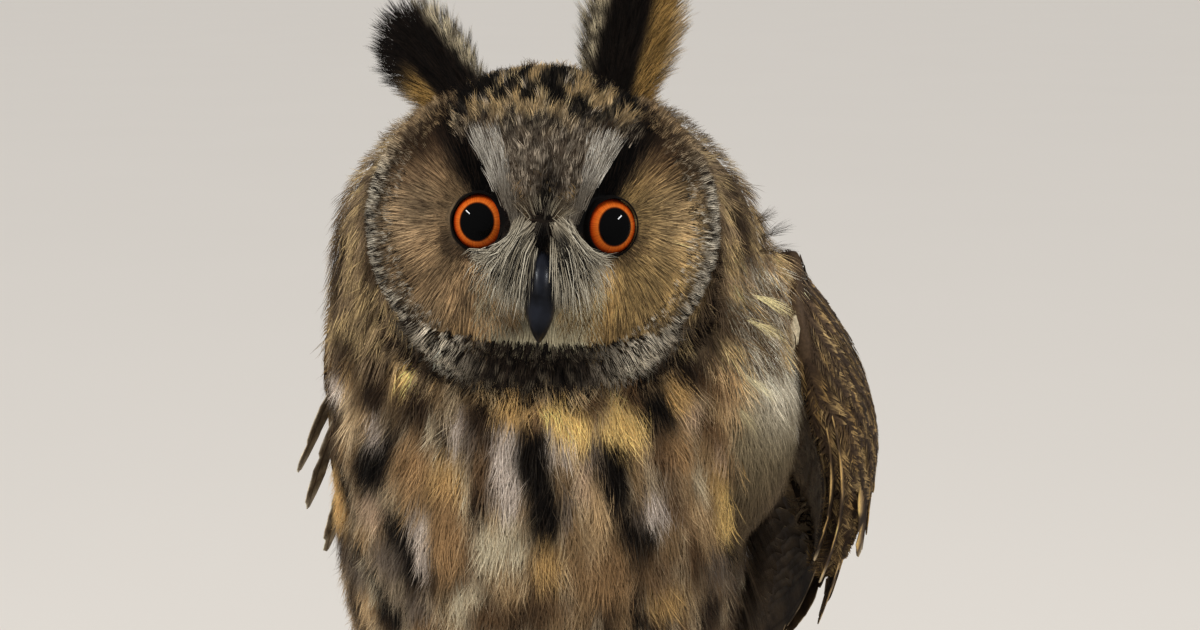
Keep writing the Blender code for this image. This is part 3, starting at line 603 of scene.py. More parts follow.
def plume_form(seed, strands, width):
    """A loose feather: fine barbs that run nearly along its shaft and end round its outline."""
    rng = np.random.default_rng(seed)
    form = Form()
    for k in range(strands):
        out = 2 * (k + rng.uniform(0.1, 0.9)) / strands - 1
        start = rng.uniform(0.0, 0.4)
        end = (1 - 0.34 * abs(out) ** 2.2) * rng.uniform(0.86, 1.04)
        lift, bend = rng.uniform(-0.5, 0.5), rng.normal(0, 0.28)
        middle, widths = [], []
        for v in (0.0, 0.35, 0.7, 1.0):
            s = start + (end - start) * v
            middle.append((s, out * (0.25 + 0.75 * v**0.8) + bend * v * v, lift * v))
            widths.append((0, width * (1 - 0.6 * v)) if v < 1 else (0, 0))
        form.ribbon(middle, widths, rng.uniform())
    return form.done()


def family(make, first, count, *sizes):
    """Forms of one kind, each from its own seed."""
    return [make(first + k, *sizes) for k in range(count)]


def feathers(name, lines, normals, form_set, width, lift, paint, slot, unwrap, material, **looks):
    """Pieces of many feathers: one form on each line, bent along it, in its own paint.

    lift gives the height above the skin at the root and at the tip, in millimetres. paint takes
    the roots, the places of all points, the form's s, t and barb, and a random generator.
    """
    count = lines.shape[1]
    rng = np.random.default_rng(looks["seed"])
    chosen = rng.integers(0, len(form_set), count)
    sizes = np.array([len(form.faces) for form in form_set])[chosen]
    share = np.cumsum(sizes) / PIECE_LIMIT
    parts = int(share[-1]) + 1
    width = np.broadcast_to(np.asarray(width, float), (count,))
    low, high = (np.broadcast_to(np.asarray(value, float), (count,)) for value in lift)
    for part in range(parts):
        own = np.flatnonzero(share.astype(int) == part)
        label = f"{name}_{part + 1}" if parts > 1 else name
        args = (lines[:, own], normals[:, own], form_set, chosen[own], width[own], low[own], high[own])
        made = plumage(args, paint, unwrap, rng, looks)
        piece(label, made[0], made[1], material, made[2], made[3], looks.get("nodes", ()))


def plumage(args, paint, unwrap, rng, looks):
    """The points, triangles, colours and patches of some feathers."""
    lines, normals, form_set, chosen, width, low, high = args
    stations, count = lines.shape[:2]
    heading = unit(np.gradient(lines, axis=0))
    sideways = unit(np.cross(heading, normals))
    length = np.linalg.norm(np.diff(lines, axis=0), axis=2).sum(0)
    sway = rng.normal(0, looks.get("sway", 0.05), count) * length
    twist = rng.normal(0, looks.get("twist", 0.12), count)
    puff = looks.get("puff", 0.5)
    tone = rng.normal(0, looks.get("tone", 0.07), count)
    patch = unwrap(lines[0])
    found = []
    first = 0
    for which, form in enumerate(form_set):
        own = np.flatnonzero(chosen == which)
        if not len(own):
            continue
        weights = spline_weights(form.s, stations)
        centre = np.einsum("vm,mnk->nvk", weights, lines[:, own])
        beyond = np.maximum(form.s - 1, 0)[None, :, None] * length[own][:, None, None]
        centre = centre + heading[-1, own][:, None] * beyond
        up = unit(np.einsum("vm,mnk->nvk", weights, normals[:, own]))
        side = unit(np.einsum("vm,mnk->nvk", weights, sideways[:, own]))
        s, t = form.s[None], form.t[None]
        offset = t * width[own, None] + sway[own, None] * s**2
        rise = low[own, None] + (high - low)[own, None] * s ** looks.get("rise", 1.0)
        rise = rise + (form.h[None] * puff + twist[own, None] * t) * width[own, None]
        spots = centre + side * offset[..., None]
        colours = paint(lines[0, own], spots, s, t, form.barb[None], rng)
        shade = 1 + tone[own, None] + looks.get("strand", 0.16) * (form.barb[None] - 0.5)
        base = first + np.arange(len(own))[:, None, None] * len(form.s)
        local = np.stack(np.broadcast_arrays(np.clip(t, -1, 1) * 0.5, s - 0.5), -1) * PATCH
        found.append(
            (
                (spots + up * rise[..., None]).reshape(-1, 3),
                (form.faces[None] + base).reshape(-1, 3),
                (colours * shade[..., None]).reshape(-1, 3),
                (patch[own][:, None] + local).reshape(-1, 2),
            )
        )
        first += len(own) * len(form.s)
    return [np.concatenate(parts) for parts in zip(*found)]


def coat(name, skin, spacing, region, lie, length, forms, width, lift, paint, unwrap, seed, **looks):
    """Feathers scattered over a region of the skin, each along the lie."""
    roots = skin.scatter(spacing, region, seed)
    lengths = length(roots) if callable(length) else np.full(len(roots), float(length))
    lines, normals = skin.follow(roots, lie, lengths, looks.pop("steps", 3))
    widths = width(roots) if callable(width) else width
    slot, material = looks.pop("slot", "body_feathers"), looks.pop("material", SOFT)
    feathers(name, lines, normals, forms, widths, lift, paint, slot, unwrap, material, seed=seed, **looks)


# Unwraps of the skin's own shape

def unwrap_head(reach):
    """The head opened out from the middle of the face, as far back as reach in radians."""

    def unwrap(places):
        middle = on_face(0.0, 0.0, -30.0)
        across, up, _ = face_of(places)
        towards = unit(places - middle)
        back = np.arccos(np.clip(towards @ face_vector(0.0, 0.0, 1.0), -1, 1)) / reach
        turn = np.arctan2(up, across)
        return 0.5 + 0.49 * np.clip(back, 0, 1)[:, None] * np.stack([np.cos(turn), np.sin(turn)], 1)

    return unwrap


def unwrap_body(places):
    """The body slit along its back and rolled out, from tail root to crown."""
    nearest, x, y, _ = body_of(places)
    return np.stack([0.5 + np.arctan2(x, -y) / math.tau, 0.01 + 0.98 * nearest / len(BODY)], 1)


def unwrap_legs(places):
    """Each leg slit down its back and rolled out."""
    left = places[:, 0] > 0
    turn = np.arctan2(places[:, 0] - np.where(left, 26.0, -26.0), 14.0 - places[:, 1])
    return np.stack([0.25 + 0.5 * left + 0.48 * turn / math.tau, 0.01 + places[:, 2] / 120.0], 1)


# Where the regions of the coat are

def disc_reach(places):
    """0 in the middle of the facial disc and 1 at its rim."""
    across, up, _ = face_of(places)
    return np.hypot(across / DISC_HALF_WIDTH, up / DISC_HALF_HEIGHT)


def on_disc(places):
    return (disc_reach(places) < 1.03) & (face_of(places)[2] > -9)


def on_collar(places):
    """The black edge behind the lower rim of the disc: black feathers and painted shade of the gap behind
    the rim.
    """
    _, up, forward = face_of(places)
    reach = disc_reach(places)
    return (reach > 0.97) & (reach < 1.13) & (forward > -24) & (up < -6)


def from_eye(places):
    """Distance from the middle of the nearer eye, seen from in front."""
    across, up, _ = face_of(places)
    return np.hypot(np.abs(across) - EYE_ACROSS - 1.6, up)


def flank_share(places):
    """1 on the bared flank under the left wing, and 0 away from it."""
    reach = np.linalg.norm((places - FLANK_CENTRE) / (FLANK_RADII + 3), axis=-1)
    return (1 - ramp(reach, 0.92, 1.06)) * ramp(places[..., 0], 49, 56)


# The lie of the coat

def lie_down_body(places):
    """Back over the crown, then down the neck and body towards the tail."""
    down = -BODY_HEAD[body_of(places)[0]]
    _, up, forward = face_of(places)
    over_crown = ramp(places[:, 2], 236, 272) * (1 - ramp(places[:, 1], 4, 34))
    reach = disc_reach(places)
    collar = ramp(forward, -34, -12) * (1 - ramp(reach, 1.25, 1.75)) * (1 - ramp(up, -5, 20))
    down = down + 0.9 * collar[:, None] * lie_outward(places)
    back = np.zeros_like(places)
    back[:, 1] = 1.0
    back[:, 0] = 0.012 * places[:, 0]
    back[:, 2] = -0.25
    lie = down * (1 - over_crown)[:, None] + back * over_crown[:, None]
    on_leg = (places[:, 2] < LEG_TOP) & (places[:, 1] < 40)
    lie[on_leg] = (0.0, 0.0, -1.0)
    return lie


def lie_from_eye(places):
    """Away from the nearer eye, over the facial disc."""
    across, up, _ = face_of(places)
    side = np.where(across < 0, -1.0, 1.0)
    out = across - side * (EYE_ACROSS + 1.6)
    return face_vector(out + 0.06 * across, up - 0.1 * np.abs(out), 0 * up)


def lie_forehead(places):
    across, up, _ = face_of(places)
    return face_vector(0.03 * across, 1.0 + 0 * up, 0.02 * (20 - up))


def lie_bridge(places):
    """Down over the root of the bill, and up above it."""
    across, up, _ = face_of(places)
    return face_vector(0.25 * across, np.where(up > 1.0, 1.0, -1.0), 0.5 + 0 * up)


def lie_leg(places):
    """Down the leg, then out along the toes."""
    side = np.where(places[:, 0] > 0, 1.0, -1.0)
    out = places - np.stack([side * LEG_ACROSS, np.full(len(places), FOOT_Y), places[:, 2]], 1)
    level = ramp(-places[:, 2], -14, -8)[:, None]
    return unit(out) * level + np.array((0.0, 0.0, -1.0)) * (1 - level)


def lie_brow(places):
    """Up from the bridge of the bill along the brow."""
    across, up, _ = face_of(places)
    side = np.where(across < 0, -1.0, 1.0)
    out = side * (13.0 + 0.9 * (np.abs(across) - 10))
    return face_vector(out, np.full(len(up), 32.0), np.full(len(up), 6.0))


def lie_outward(places):
    across, up, _ = face_of(places)
    return face_vector(across / DISC_HALF_WIDTH, up / DISC_HALF_HEIGHT, 0 * up)


# Markings of the face

BROW = ((7.8, 1.0), (15.0, 21.0))
DEEP = (9, 7, 6)


def salt(roots, rng, share):
    """True for a random share of the tufts."""
    return (rng.uniform(size=len(roots)) < share)[:, None]


def past_brow(side, up):
    """How far outside the brow a place of the face lies, and how far along the brow, 0 to 1."""
    (a0, u0), (a1, u1) = BROW
    along = np.clip((up - u0) / (u1 - u0), -0.3, 2.0)
    return side - (a0 + (a1 - a0) * along) - 1.0 - 3.2 * np.clip(along, 0, 1), along


def face_paint(places):
    """The ground colour of the facial disc at each place."""
    across, up, _ = face_of(places)
    side, left = np.abs(across), ramp(across, -20, 20)
    near, reach = from_eye(places), disc_reach(places)
    colour = blend((168, 138, 100), (186, 154, 99), left)
    colour = blend(colour, (194, 170, 136), 0.5 * ramp(side, 20, 34) * bump(up - 3, 11))
    colour = blend(colour, (70, 52, 36), ramp(up + 0.25 * (side - 24), 5, 20))
    colour = blend(colour, (108, 93, 72), 0.75 * ramp(side, 20, 28) * ramp(-up, 12, 22) * (1 - 0.8 * left))
    colour = blend(colour, (166, 132, 84), 0.6 * bump(np.hypot(side - 19.5, up + 26), 5.0))
    colour = blend(colour, (104, 92, 75), 0.7 * ramp(reach, 0.76, 0.88))
    beyond, _ = past_brow(side, up)
    wedge = ramp(beyond, -1.5, 0.5) * (1 - ramp(beyond, 5.5, 10.0)) * ramp(up, -4, 1)
    colour = blend(colour, DEEP, wedge * (1 - 0.3 * ramp(up, 20, 30)))
    inner = (1 - ramp(side - EYE_ACROSS, -4, 3)) * (1 - ramp(near, 8.6, 10.4))
    colour = blend(colour, DEEP, 0.9 * inner)
    under = bump(near - 8.2, 1.6) * ramp(-up, -2, 5)
    colour = blend(colour, (60, 46, 34), 0.6 * under)
    middle = (1 - ramp(side, 5, 8)) * (1 - ramp(up, 4, 8)) * ramp(up, -20, -14)
    return blend(colour, (52, 42, 32), middle)


def paint_disc(roots, spots, s, t, barb, rng):
    """Fine dark spokes in the disc, each strand darker or paler along its length."""
    colour = face_paint(roots)[:, None] * np.ones_like(s + t)[..., None]
    colour = colour * (0.8 + 0.36 * cloud(roots, 5.0, 66))[:, None, None]
    lines = (barb > 0.62) * ramp(s, 0.15, 0.55)
    colour = blend(colour, (40, 29, 21), lines * rng.uniform(0.4, 0.95, (len(roots), 1)))
    return blend(colour, (196, 172, 134), 0.3 * (barb < 0.22) * ramp(s, 0.4, 1.0) * (colour[..., 0] > 90))


def paint_forehead(roots, spots, s, t, barb, rng):
    """Fine curly strokes of grey and brown, bolder towards the crown, dark above the bill."""
    across, up, _ = face_of(roots)
    high = ramp(up, 18, 32)[:, None]
    pale = blend((168, 154, 134), (176, 156, 118), high * salt(roots, rng, 0.6))
    dark = blend((56, 46, 36), (14, 11, 9), high)
    wave = 0.5 + 0.5 * np.sin(math.tau * (s * 1.6 + rng.uniform(size=(len(roots), 1)) + 0.3 * barb))
    colour = blend(dark, pale, ramp(wave, 0.45, 0.65) * (0.35 + 0.65 * salt(roots, rng, 0.55)))
    blots = cloud(roots * (1.0, 1.0, 0.6), 3.0, 67)[:, None]
    colour = blend(colour, DEEP, 0.85 * high * ramp(blots, 0.58, 0.8))
    colour = blend(colour, (204, 170, 116), 0.7 * high * ramp(1 - blots, 0.62, 0.85) * ramp(s, 0.2, 0.5))
    streak = bump(across - 0.8, 2.2) * ramp(up, -2, 2) * (1 - ramp(up, 9, 17))
    streak = streak[:, None] * (0.6 + 0.4 * salt(roots, rng, 0.5))
    return blend(colour, DEEP, streak)


def paint_bridge(roots, spots, s, t, barb, rng):
    """A black diamond above the bill and brown fuzz between it and the bill."""
    across, up, _ = face_of(roots)
    diamond = 1 - ramp(np.abs(across + 0.2) + 0.8 * np.abs(up + 0.5), 3.0, 4.6)
    colour = blend((96, 84, 66), (46, 37, 28), barb) * np.ones((len(roots), 1, 1))
    colour = blend(colour, DEEP, diamond[:, None])
    arch = bump(up - 2.6 + 0.5 * np.abs(across), 1.3)
    return blend(colour, (184, 172, 146), 0.8 * arch[:, None] * (barb > 0.3))


def paint_brow(roots, spots, s, t, barb, rng):
    across, up, _ = face_of(roots)
    colour = blend((100, 92, 80), (238, 231, 216), np.clip(barb + 0.25 * s, 0, 1) ** 0.7)
    colour = colour * (1 - 0.14 * (across < 0))[:, None, None]
    colour = blend(colour, (100, 91, 78), 0.75 * ramp(-up, -9, -3)[:, None])
    return blend(colour, DARK, 0.75 * (barb > 0.86))


def paint_whiskers(roots, spots, s, t, barb, rng):
    up = face_of(roots)[1]
    colour = blend((138, 128, 108), (242, 235, 214), barb * (0.45 + 0.55 * s))
    colour = colour * np.ones((len(roots), 1, 1))
    colour = blend(colour, (96, 86, 70), 0.6 * (1 - ramp(s, 0.0, 0.4)) * ramp(up, -8, 0)[:, None])
    dark = salt(roots, rng, 0.28) | (barb > 0.84)
    return blend(colour, DEEP, 0.9 * dark * ramp(s, 0.1, 0.4))


def paint_chin(roots, spots, s, t, barb, rng):
    across, up, _ = face_of(roots)
    # Painted shade: darker just under the tip of the bill and on the right side of the chin
    shade = 1 - 0.35 * bump(across + 2, 6.0) * ramp(up, -30, -24) - 0.25 * ramp(-across, 2, 9)
    colour = blend((186, 174, 140), (224, 212, 178), 0.6 * barb + 0.4 * s)
    return colour * shade[:, None, None]


def paint_collar(roots, spots, s, t, barb, rng):
    """The black edge behind the lower rim, as black feathers and painted shade of the gap, with brown tips.
    """
    colour = blend(DEEP, (46, 34, 24), barb) * np.ones((len(roots), 1, 1))
    return blend(colour, (120, 98, 66), 0.6 * salt(roots, rng, 0.25) * ramp(s, 0.5, 1.0))


def paint_rim(roots, spots, s, t, barb, rng):
    """Salt and pepper, browner high up, and black outside the lower rim: black feathers and painted shade of
    the gap behind it.
    """
    up, reach = face_of(roots)[1], disc_reach(roots)
    black = ramp(reach, 0.95, 0.99) * ramp(-up, 8, 24)
    grey = rng.uniform(size=(len(roots), 1))
    colour = blend((34, 29, 24), (192, 182, 162), ramp(grey + 0.5 * (barb - 0.5), 0.4, 0.65))
    brown = blend((98, 78, 54), (150, 122, 84), ramp(grey, 0.3, 0.7))
    colour = blend(colour, brown, (ramp(up, 8, 26) * 0.8)[:, None] * np.ones_like(barb))
    colour = blend(colour, DEEP, black[:, None] * (1 - 0.45 * (grey > 0.86)))
    return blend(colour, DEEP, 0.8 * (ramp(reach, 0.93, 0.97) * ramp(-up, 2, 14))[:, None])


def paint_ruff(roots, spots, s, t, barb, rng):
    """Black curls under the chin, with pale specks, and whitish ones at both sides."""
    across = face_of(roots)[0]
    grey = rng.uniform(size=(len(roots), 1))
    colour = blend(DEEP, (44, 35, 27), barb) * np.ones((len(roots), 1, 1))
    colour = blend(colour, (126, 114, 94), 0.8 * (grey > 0.8) * ramp(s, 0.3, 0.7))
    sides = np.maximum(bump(across + 25, 8.0), bump(across - 26, 11.0))
    sides = (sides * (1 - ramp(disc_reach(roots), 0.99, 1.05)))[:, None]
    return blend(colour, (226, 214, 190), sides * ((grey > 0.32) & (barb > 0.25)) * ramp(s, 0.2, 0.5))


# Markings of the body

LILAC = (196, 182, 168)
PINK = (184, 156, 128)
TAN = (158, 124, 84)
GREY = (104, 92, 80)
# Marks seen from in front: across, height, half width, half height, tilt in degrees, colour, strength
BLOTCHES = (
    (-64, 191, 1.8, 6.0, -8, BLACK, 0.85), (-57, 190, 2.1, 8.8, -2, DARK, 0.85),
    (-56, 192, 1.5, 3.2, -5, LILAC, 0.85), (-61, 197, 0.7, 4.5, -5, PINK, 0.6),
    (-54, 205, 0.9, 6.4, -40, TAN, 0.7), (-45, 196, 2.6, 7.4, -3, DARK, 0.85),
    (-36, 203, 2.2, 5.0, -18, GOLD, 0.75), (-33, 194, 3.3, 4.4, -10, DARK, 0.85),
    (-48, 187, 1.7, 2.0, 0, BUFF, 0.8), (-44, 182, 2.3, 4.5, 5, LILAC, 0.9),
    (-40, 181, 2.2, 5.1, -18, BLACK, 0.9), (-46, 174, 3.7, 6.3, -5, BLACK, 1),
    (-34, 177, 4.2, 6.6, 0, TAN, 0.8), (-25, 174, 3.8, 6.5, 0, OCHRE, 0.7),
    (-30, 188, 0.7, 3.0, 0, CREAM, 0.7), (-28, 185, 0.5, 2.7, 0, CREAM, 0.8),
    (-26, 186, 1.5, 3.3, 0, DARK, 0.8), (-22, 188, 1.4, 4.6, -14, LILAC, 0.8),
    (-16, 190, 4.0, 5.4, -8, DARK, 0.85), (-19, 185, 1.9, 3.2, 0, GREY, 0.7),
    (-16, 178, 2.1, 5.9, 0, BROWN, 0.9), (-10, 181, 3.2, 7.2, 0, LILAC, 0.95),
    (-3, 181, 3.4, 7.4, -3, BLACK, 0.95), (-9, 195, 3.2, 5.1, -5, OCHRE, 0.85),
    (-1, 195, 4.0, 3.7, 0, OCHRE, 0.8), (-2, 193, 1.1, 3.7, 0, BROWN, 0.6),
    (3, 194, 2.7, 3.7, 0, GOLD, 0.85), (2, 184, 1.6, 3.2, 0, LILAC, 0.6), (8, 189, 3.5, 5.0, 0, GOLD, 1),
    (21, 188, 5.7, 4.6, 28, GOLD, 1), (19, 196, 1.3, 3.8, 20, GOLD, 0.8),
    (13, 196, 3.5, 2.9, 5, BROWN, 0.8), (23, 199, 2.7, 4.9, 15, BROWN, 0.7),
    (30, 192, 3.6, 4.9, 24, BLACK, 0.95), (36, 197, 2.5, 4.4, 25, OCHRE, 0.8),
    (40, 202, 3.4, 5.6, 50, DARK, 0.85), (48, 196, 2.3, 5.2, 60, BROWN, 0.8),
    (49, 203, 2.3, 5.2, 50, BUFF, 0.8), (40, 190, 3.4, 2.2, 20, PINK, 0.7),
    (46, 186, 2.9, 4.3, 40, BROWN, 0.85), (52, 189, 2.6, 4.6, 20, BUFF, 0.8),
    (55, 181, 0.9, 3.2, 0, BROWN, 0.8), (56, 176, 1.2, 7.6, -2, OCHRE, 0.8),
    (59, 182, 0.6, 6.5, -2, CREAM, 0.7), (59, 170, 0.4, 4.4, 12, DARK, 0.8),
    (48, 178, 1.7, 2.6, 10, PINK, 0.7), (36, 180, 3.9, 6.1, 18, TAN, 0.7),
    (31, 180, 2.2, 5.5, 22, BROWN, 0.8), (18, 178, 3.5, 5.9, 5, BLACK, 0.95),
    (13, 182, 2.1, 3.2, 0, GREY, 0.8), (6, 183, 1.6, 3.2, 0, LILAC, 0.7), (11, 175, 2.1, 3.5, 0, PINK, 0.8),
    (41, 173, 2.0, 3.4, 15, CREAM, 0.6), (47, 171, 2.9, 4.0, 15, OCHRE, 0.7),
    (-59, 157, 5.0, 8.0, 0, OCHRE, 0.9), (-54, 164, 1.7, 5.5, 28, BLACK, 0.95),
    (-45, 161, 3.4, 3.4, 10, PINK, 0.8), (-38, 158, 2.8, 5.3, 14, BLACK, 1),
    (-35, 150, 2.8, 4.7, 8, BLACK, 0.95), (-32, 160, 2.5, 4.1, 5, LILAC, 0.85),
    (-31, 152, 1.1, 4.4, 0, LILAC, 0.9), (-41, 149, 3.7, 4.5, 10, GREY, 0.8),
    (-25, 160, 3.5, 10.3, 0, TAN, 0.95), (-19, 156, 1.3, 6.5, -3, BROWN, 0.8),
    (-17, 168, 1.3, 4.8, 3, DARK, 0.8), (-20, 171, 0.4, 3.5, 12, CREAM, 0.8),
    (-9, 171, 2.7, 4.8, 0, LILAC, 0.9), (-13, 173, 1.3, 2.7, 0, GREY, 0.8), (0, 168, 3.2, 8.0, 0, BLACK, 1),
    (-11, 157, 5.9, 6.4, -8, CREAM, 0.9), (-20, 141, 3.5, 5.9, -30, CREAM, 0.85),
    (-3, 148, 0.5, 5.8, 0, DARK, 0.85), (1, 153, 3.4, 5.3, 0, OCHRE, 0.85),
    (2, 142, 4.2, 4.2, 0, BROWN, 0.45), (-44, 139, 1.1, 11.3, 30, BLACK, 0.9),
    (-46, 139, 0.5, 9.7, 30, CREAM, 0.8), (-56, 141, 1.5, 6.5, -8, DARK, 0.9),
    (-62, 140, 2.1, 6.6, 4, GREY, 0.8), (-51, 139, 3.2, 4.1, 0, GREY, 0.7),
    (-50, 130, 3.8, 4.0, 0, BUFF, 0.85), (-41, 131, 2.8, 3.9, 0, BLACK, 0.9),
    (-33, 137, 3.6, 3.9, 20, GREY, 0.8), (-14, 138, 4.3, 3.2, -25, BROWN, 0.8),
    (14, 166, 3.2, 8.0, 0, BUFF, 0.8), (6, 168, 1.3, 4.0, 0, GREY, 0.8),
    (19, 172, 2.7, 3.8, 8, BLACK, 0.95), (24, 160, 3.8, 6.0, 12, BLACK, 1),
    (24, 149, 1.9, 7.3, 0, BLACK, 0.95), (30, 166, 3.0, 4.1, 5, LILAC, 0.95),
    (25, 166, 1.1, 3.3, 10, GREY, 0.7), (36, 165, 2.2, 6.4, 28, BROWN, 0.85),
    (42, 159, 3.4, 6.2, 28, BUFF, 0.8), (51, 159, 3.8, 8.7, 10, GOLD, 0.9),
    (61, 154, 0.7, 8.3, 21, DARK, 0.9), (65, 148, 0.6, 9.0, 21, CREAM, 0.9),
    (40, 150, 1.7, 7.9, 8, BROWN, 0.85), (54, 143, 3.2, 7.0, 34, BLACK, 0.95),
    (59, 147, 1.8, 3.3, 20, LILAC, 0.8), (47, 144, 2.9, 5.1, 15, GREY, 0.8),
    (30, 148, 3.8, 6.0, 8, BROWN, 0.55), (17, 149, 6.4, 7.0, 0, TAN, 0.7),
    (33, 138, 5.0, 4.1, 0, OCHRE, 0.8), (25, 136, 1.6, 3.8, 15, BLACK, 0.85),
    (45, 132, 2.3, 5.1, 12, DARK, 0.85), (54, 134, 3.5, 3.2, 10, GREY, 0.8),
    (58, 127, 3.2, 2.4, 0, CREAM, 0.7), (63, 130, 1.2, 6.0, 15, DARK, 0.85),
    (71, 125, 2.5, 4.3, 8, GOLD, 0.95), (66, 135, 1.5, 4.8, 18, BUFF, 0.85),
    (-9, 148, 3.7, 3.7, 0, BUFF, 0.6), (-29, 128, 3.8, 4.9, 0, TAN, 0.7), (5, 133, 4.2, 4.2, 0, BUFF, 0.5),
    (-7, 132, 1.3, 3.7, 0, DARK, 0.8),
)


# Loose feathers at the left shoulder: root, direction, length, colour
STRAYS = (
    ((58, -19, 222), (0.8, -0.3, -0.25), 15, (216, 202, 150)),
    ((56, -23, 216), (0.8, -0.35, -0.3), 14, (206, 190, 140)),
    ((54, -27, 202), (0.75, -0.35, -0.55), 13, (216, 204, 164)),
    ((52, -29, 194), (0.6, -0.4, -0.65), 12, (196, 180, 138)),
    ((60, -8, 232), (0.9, 0.0, 0.2), 14, (60, 46, 34)),
    ((61, -4, 235), (0.8, 0.1, 0.45), 13, (44, 34, 26)),
    ((60, -1, 239), (0.7, 0.1, 0.55), 10, (70, 54, 38)),
    ((70, -8, 188), (0.15, -0.3, -0.9), 11, (226, 218, 200)),
    ((67, -12, 180), (-0.2, -0.3, -0.9), 10, (214, 204, 184)),
)


def belly_streaks():
    """Narrow dark streaks for the part of the belly that is below the photo's edge."""
    rng = np.random.default_rng(50)
    rows = []
    for row, z in enumerate(range(126, 70, -11)):
        for x in range(-54, 60, 12):
            place = (x + 6 * (row % 2) + rng.uniform(-2, 2), z + rng.uniform(-3, 3))
            rows.append((*place, rng.uniform(1.0, 2.0), rng.uniform(5, 8), 0, DARK, rng.uniform(0.5, 0.9)))
    return tuple(rows)


MARKS = BLOTCHES + belly_streaks()
MARK_PLACES = np.array([mark[:5] for mark in MARKS])
MARK_COLOURS = np.array([mark[5] for mark in MARKS], float)
MARK_STRENGTHS = np.array([mark[6] for mark in MARKS])
# How far a mark stays at its full strength, and how softly it ends
MARK_CORE = 1.35
MARK_EDGE = 0.6
BODY_ORDER = np.argsort(BODY[:, 2])


def front_share(places):
    """1 on the breast and belly, 0 on the back."""
    middle = np.interp(places[..., 2], BODY[BODY_ORDER, 2], BODY[BODY_ORDER, 1])
    return 1 - ramp(places[..., 1] - middle, -12, 12)


def body_paint(places):
    """The colour of the underparts and sides at each place, with painted light just under the ruff and on
    the right side.
    """
    x, z = places[..., 0], places[..., 2]
    narrow = places * (1.0, 1.0, 0.45)
    spots, flecks = cloud(narrow, 7.0, 61), cloud(narrow, 4.0, 62)
    high = ramp(z, 176, 200)
    colour = blend((140, 114, 80), (172, 144, 100), high)
    colour = blend(colour, (50, 38, 27), (0.8 - 0.2 * high) * ramp(spots, 0.45, 0.75))
    colour = blend(colour, (206, 188, 156), (0.6 - 0.15 * high) * ramp(flecks, 0.5, 0.8))
    for k in range(len(MARKS)):
        mx, mz, half_width, half_height, tilt = MARK_PLACES[k]
        cos, sin = math.cos(math.radians(tilt)), math.sin(math.radians(tilt))
        level, tall = (x - mx) * cos + (z - mz) * sin, (z - mz) * cos - (x - mx) * sin
        reach = (level / half_width) ** 2 + (tall / half_height) ** 2
        near = reach < 4
        share = MARK_CORE * MARK_STRENGTHS[k] * np.exp(-((MARK_EDGE * reach[near]) ** 2))
        colour[near] = blend(colour[near], MARK_COLOURS[k], np.minimum(share, 1.0))
    # Painted light: lighter just under the ruff, where it shades the breast, and on the right side
    colour = colour * (1 + 0.22 * bump(z - 201, 8) + 0.16 * ramp(-x, 45, 58))[..., None]
    return blend(mantle_paint(places), colour, front_share(places))


def mantle_paint(places):
    """Brown, ochre and blackish, in long spots, for the crown, nape, back and sides, with painted light on
    the front of the left shoulder.
    """
    tall = places * (1.0, 1.0, 0.5)
    spots, flecks = cloud(tall, 6.0, 63), cloud(tall, 3.5, 64)
    colour = blend((150, 127, 97), (206, 178, 126), ramp(flecks, 0.3, 0.8))
    # Painted light: lighter, with fewer dark spots, on the front of the left shoulder where shade falls
    painted_light_on_shoulder = ramp(places[..., 0], 38, 52) * bump(places[..., 2] - 214, 24) * (places[..., 1] < 10)
    colour = colour * (1 + 0.3 * painted_light_on_shoulder)[..., None]
    return blend(colour, (58, 44, 32), (0.8 - 0.3 * painted_light_on_shoulder) * ramp(spots, 0.5, 0.85))


def paint_body(roots, spots, s, t, barb, rng):
    """The marks of each barb's own place, ragged at their ends, with fine wavy bars low down."""
    count = len(roots)
    shift = np.zeros_like(spots)
    shift[..., 2] = 5.0 * (barb - 0.5) + rng.uniform(-1.5, 1.5, (count, 1))
    shift[..., 0] = rng.normal(0, 0.7, (count, 1))
    colour = body_paint(spots + shift)
    x, z = spots[..., 0], spots[..., 2]
    low = ramp(-z, -168, -150) * ramp(x, -30, -5) + 0.35
    wave = np.sin(1.9 * z + 1.3 * np.sin(0.9 * x) + 2 * barb)
    colour = blend(colour, BROWN, 0.5 * low * ramp(wave, 0.1, 0.9))
    return blend(colour, CREAM, 0.2 * (barb > 0.88) * ramp(s, 0.3, 0.9))


def paint_nape(roots, spots, s, t, barb, rng):
    """Crown, nape and mantle: long spots, fine mottling, dark shafts and a few pale spots."""
    count = len(roots)
    colour = mantle_paint(spots + rng.normal(0, 1.2, (count, 1, 3)))
    crown = ramp(roots[:, 2], 246, 270)[:, None]
    colour = blend(colour, (150, 138, 118), 0.6 * crown * (barb > 0.4))
    wave = 0.5 + 0.5 * np.sin(math.tau * (s * rng.uniform(3, 5, (count, 1)) + 0.3 * np.abs(t)) + 4 * barb)
    colour = blend(colour, (60, 47, 34), 0.45 * ramp(wave, 0.35, 0.9))
    middle = bump(t + 0.3 * (barb - 0.5), 0.22)
    strength = rng.uniform(-0.2, 1.0, (count, 1)).clip(0, 1) * (1 - 0.6 * crown)
    colour = blend(colour, DARK, middle * ramp(s, 0.15, 0.5) * strength)
    spot = (rng.uniform(size=(count, 1)) < 0.14) * (roots[:, None, 2] < 215) * (np.abs(t - 0.5) < 0.45)
    return blend(colour, CREAM, 0.75 * spot * ramp(s, 0.55, 0.75))


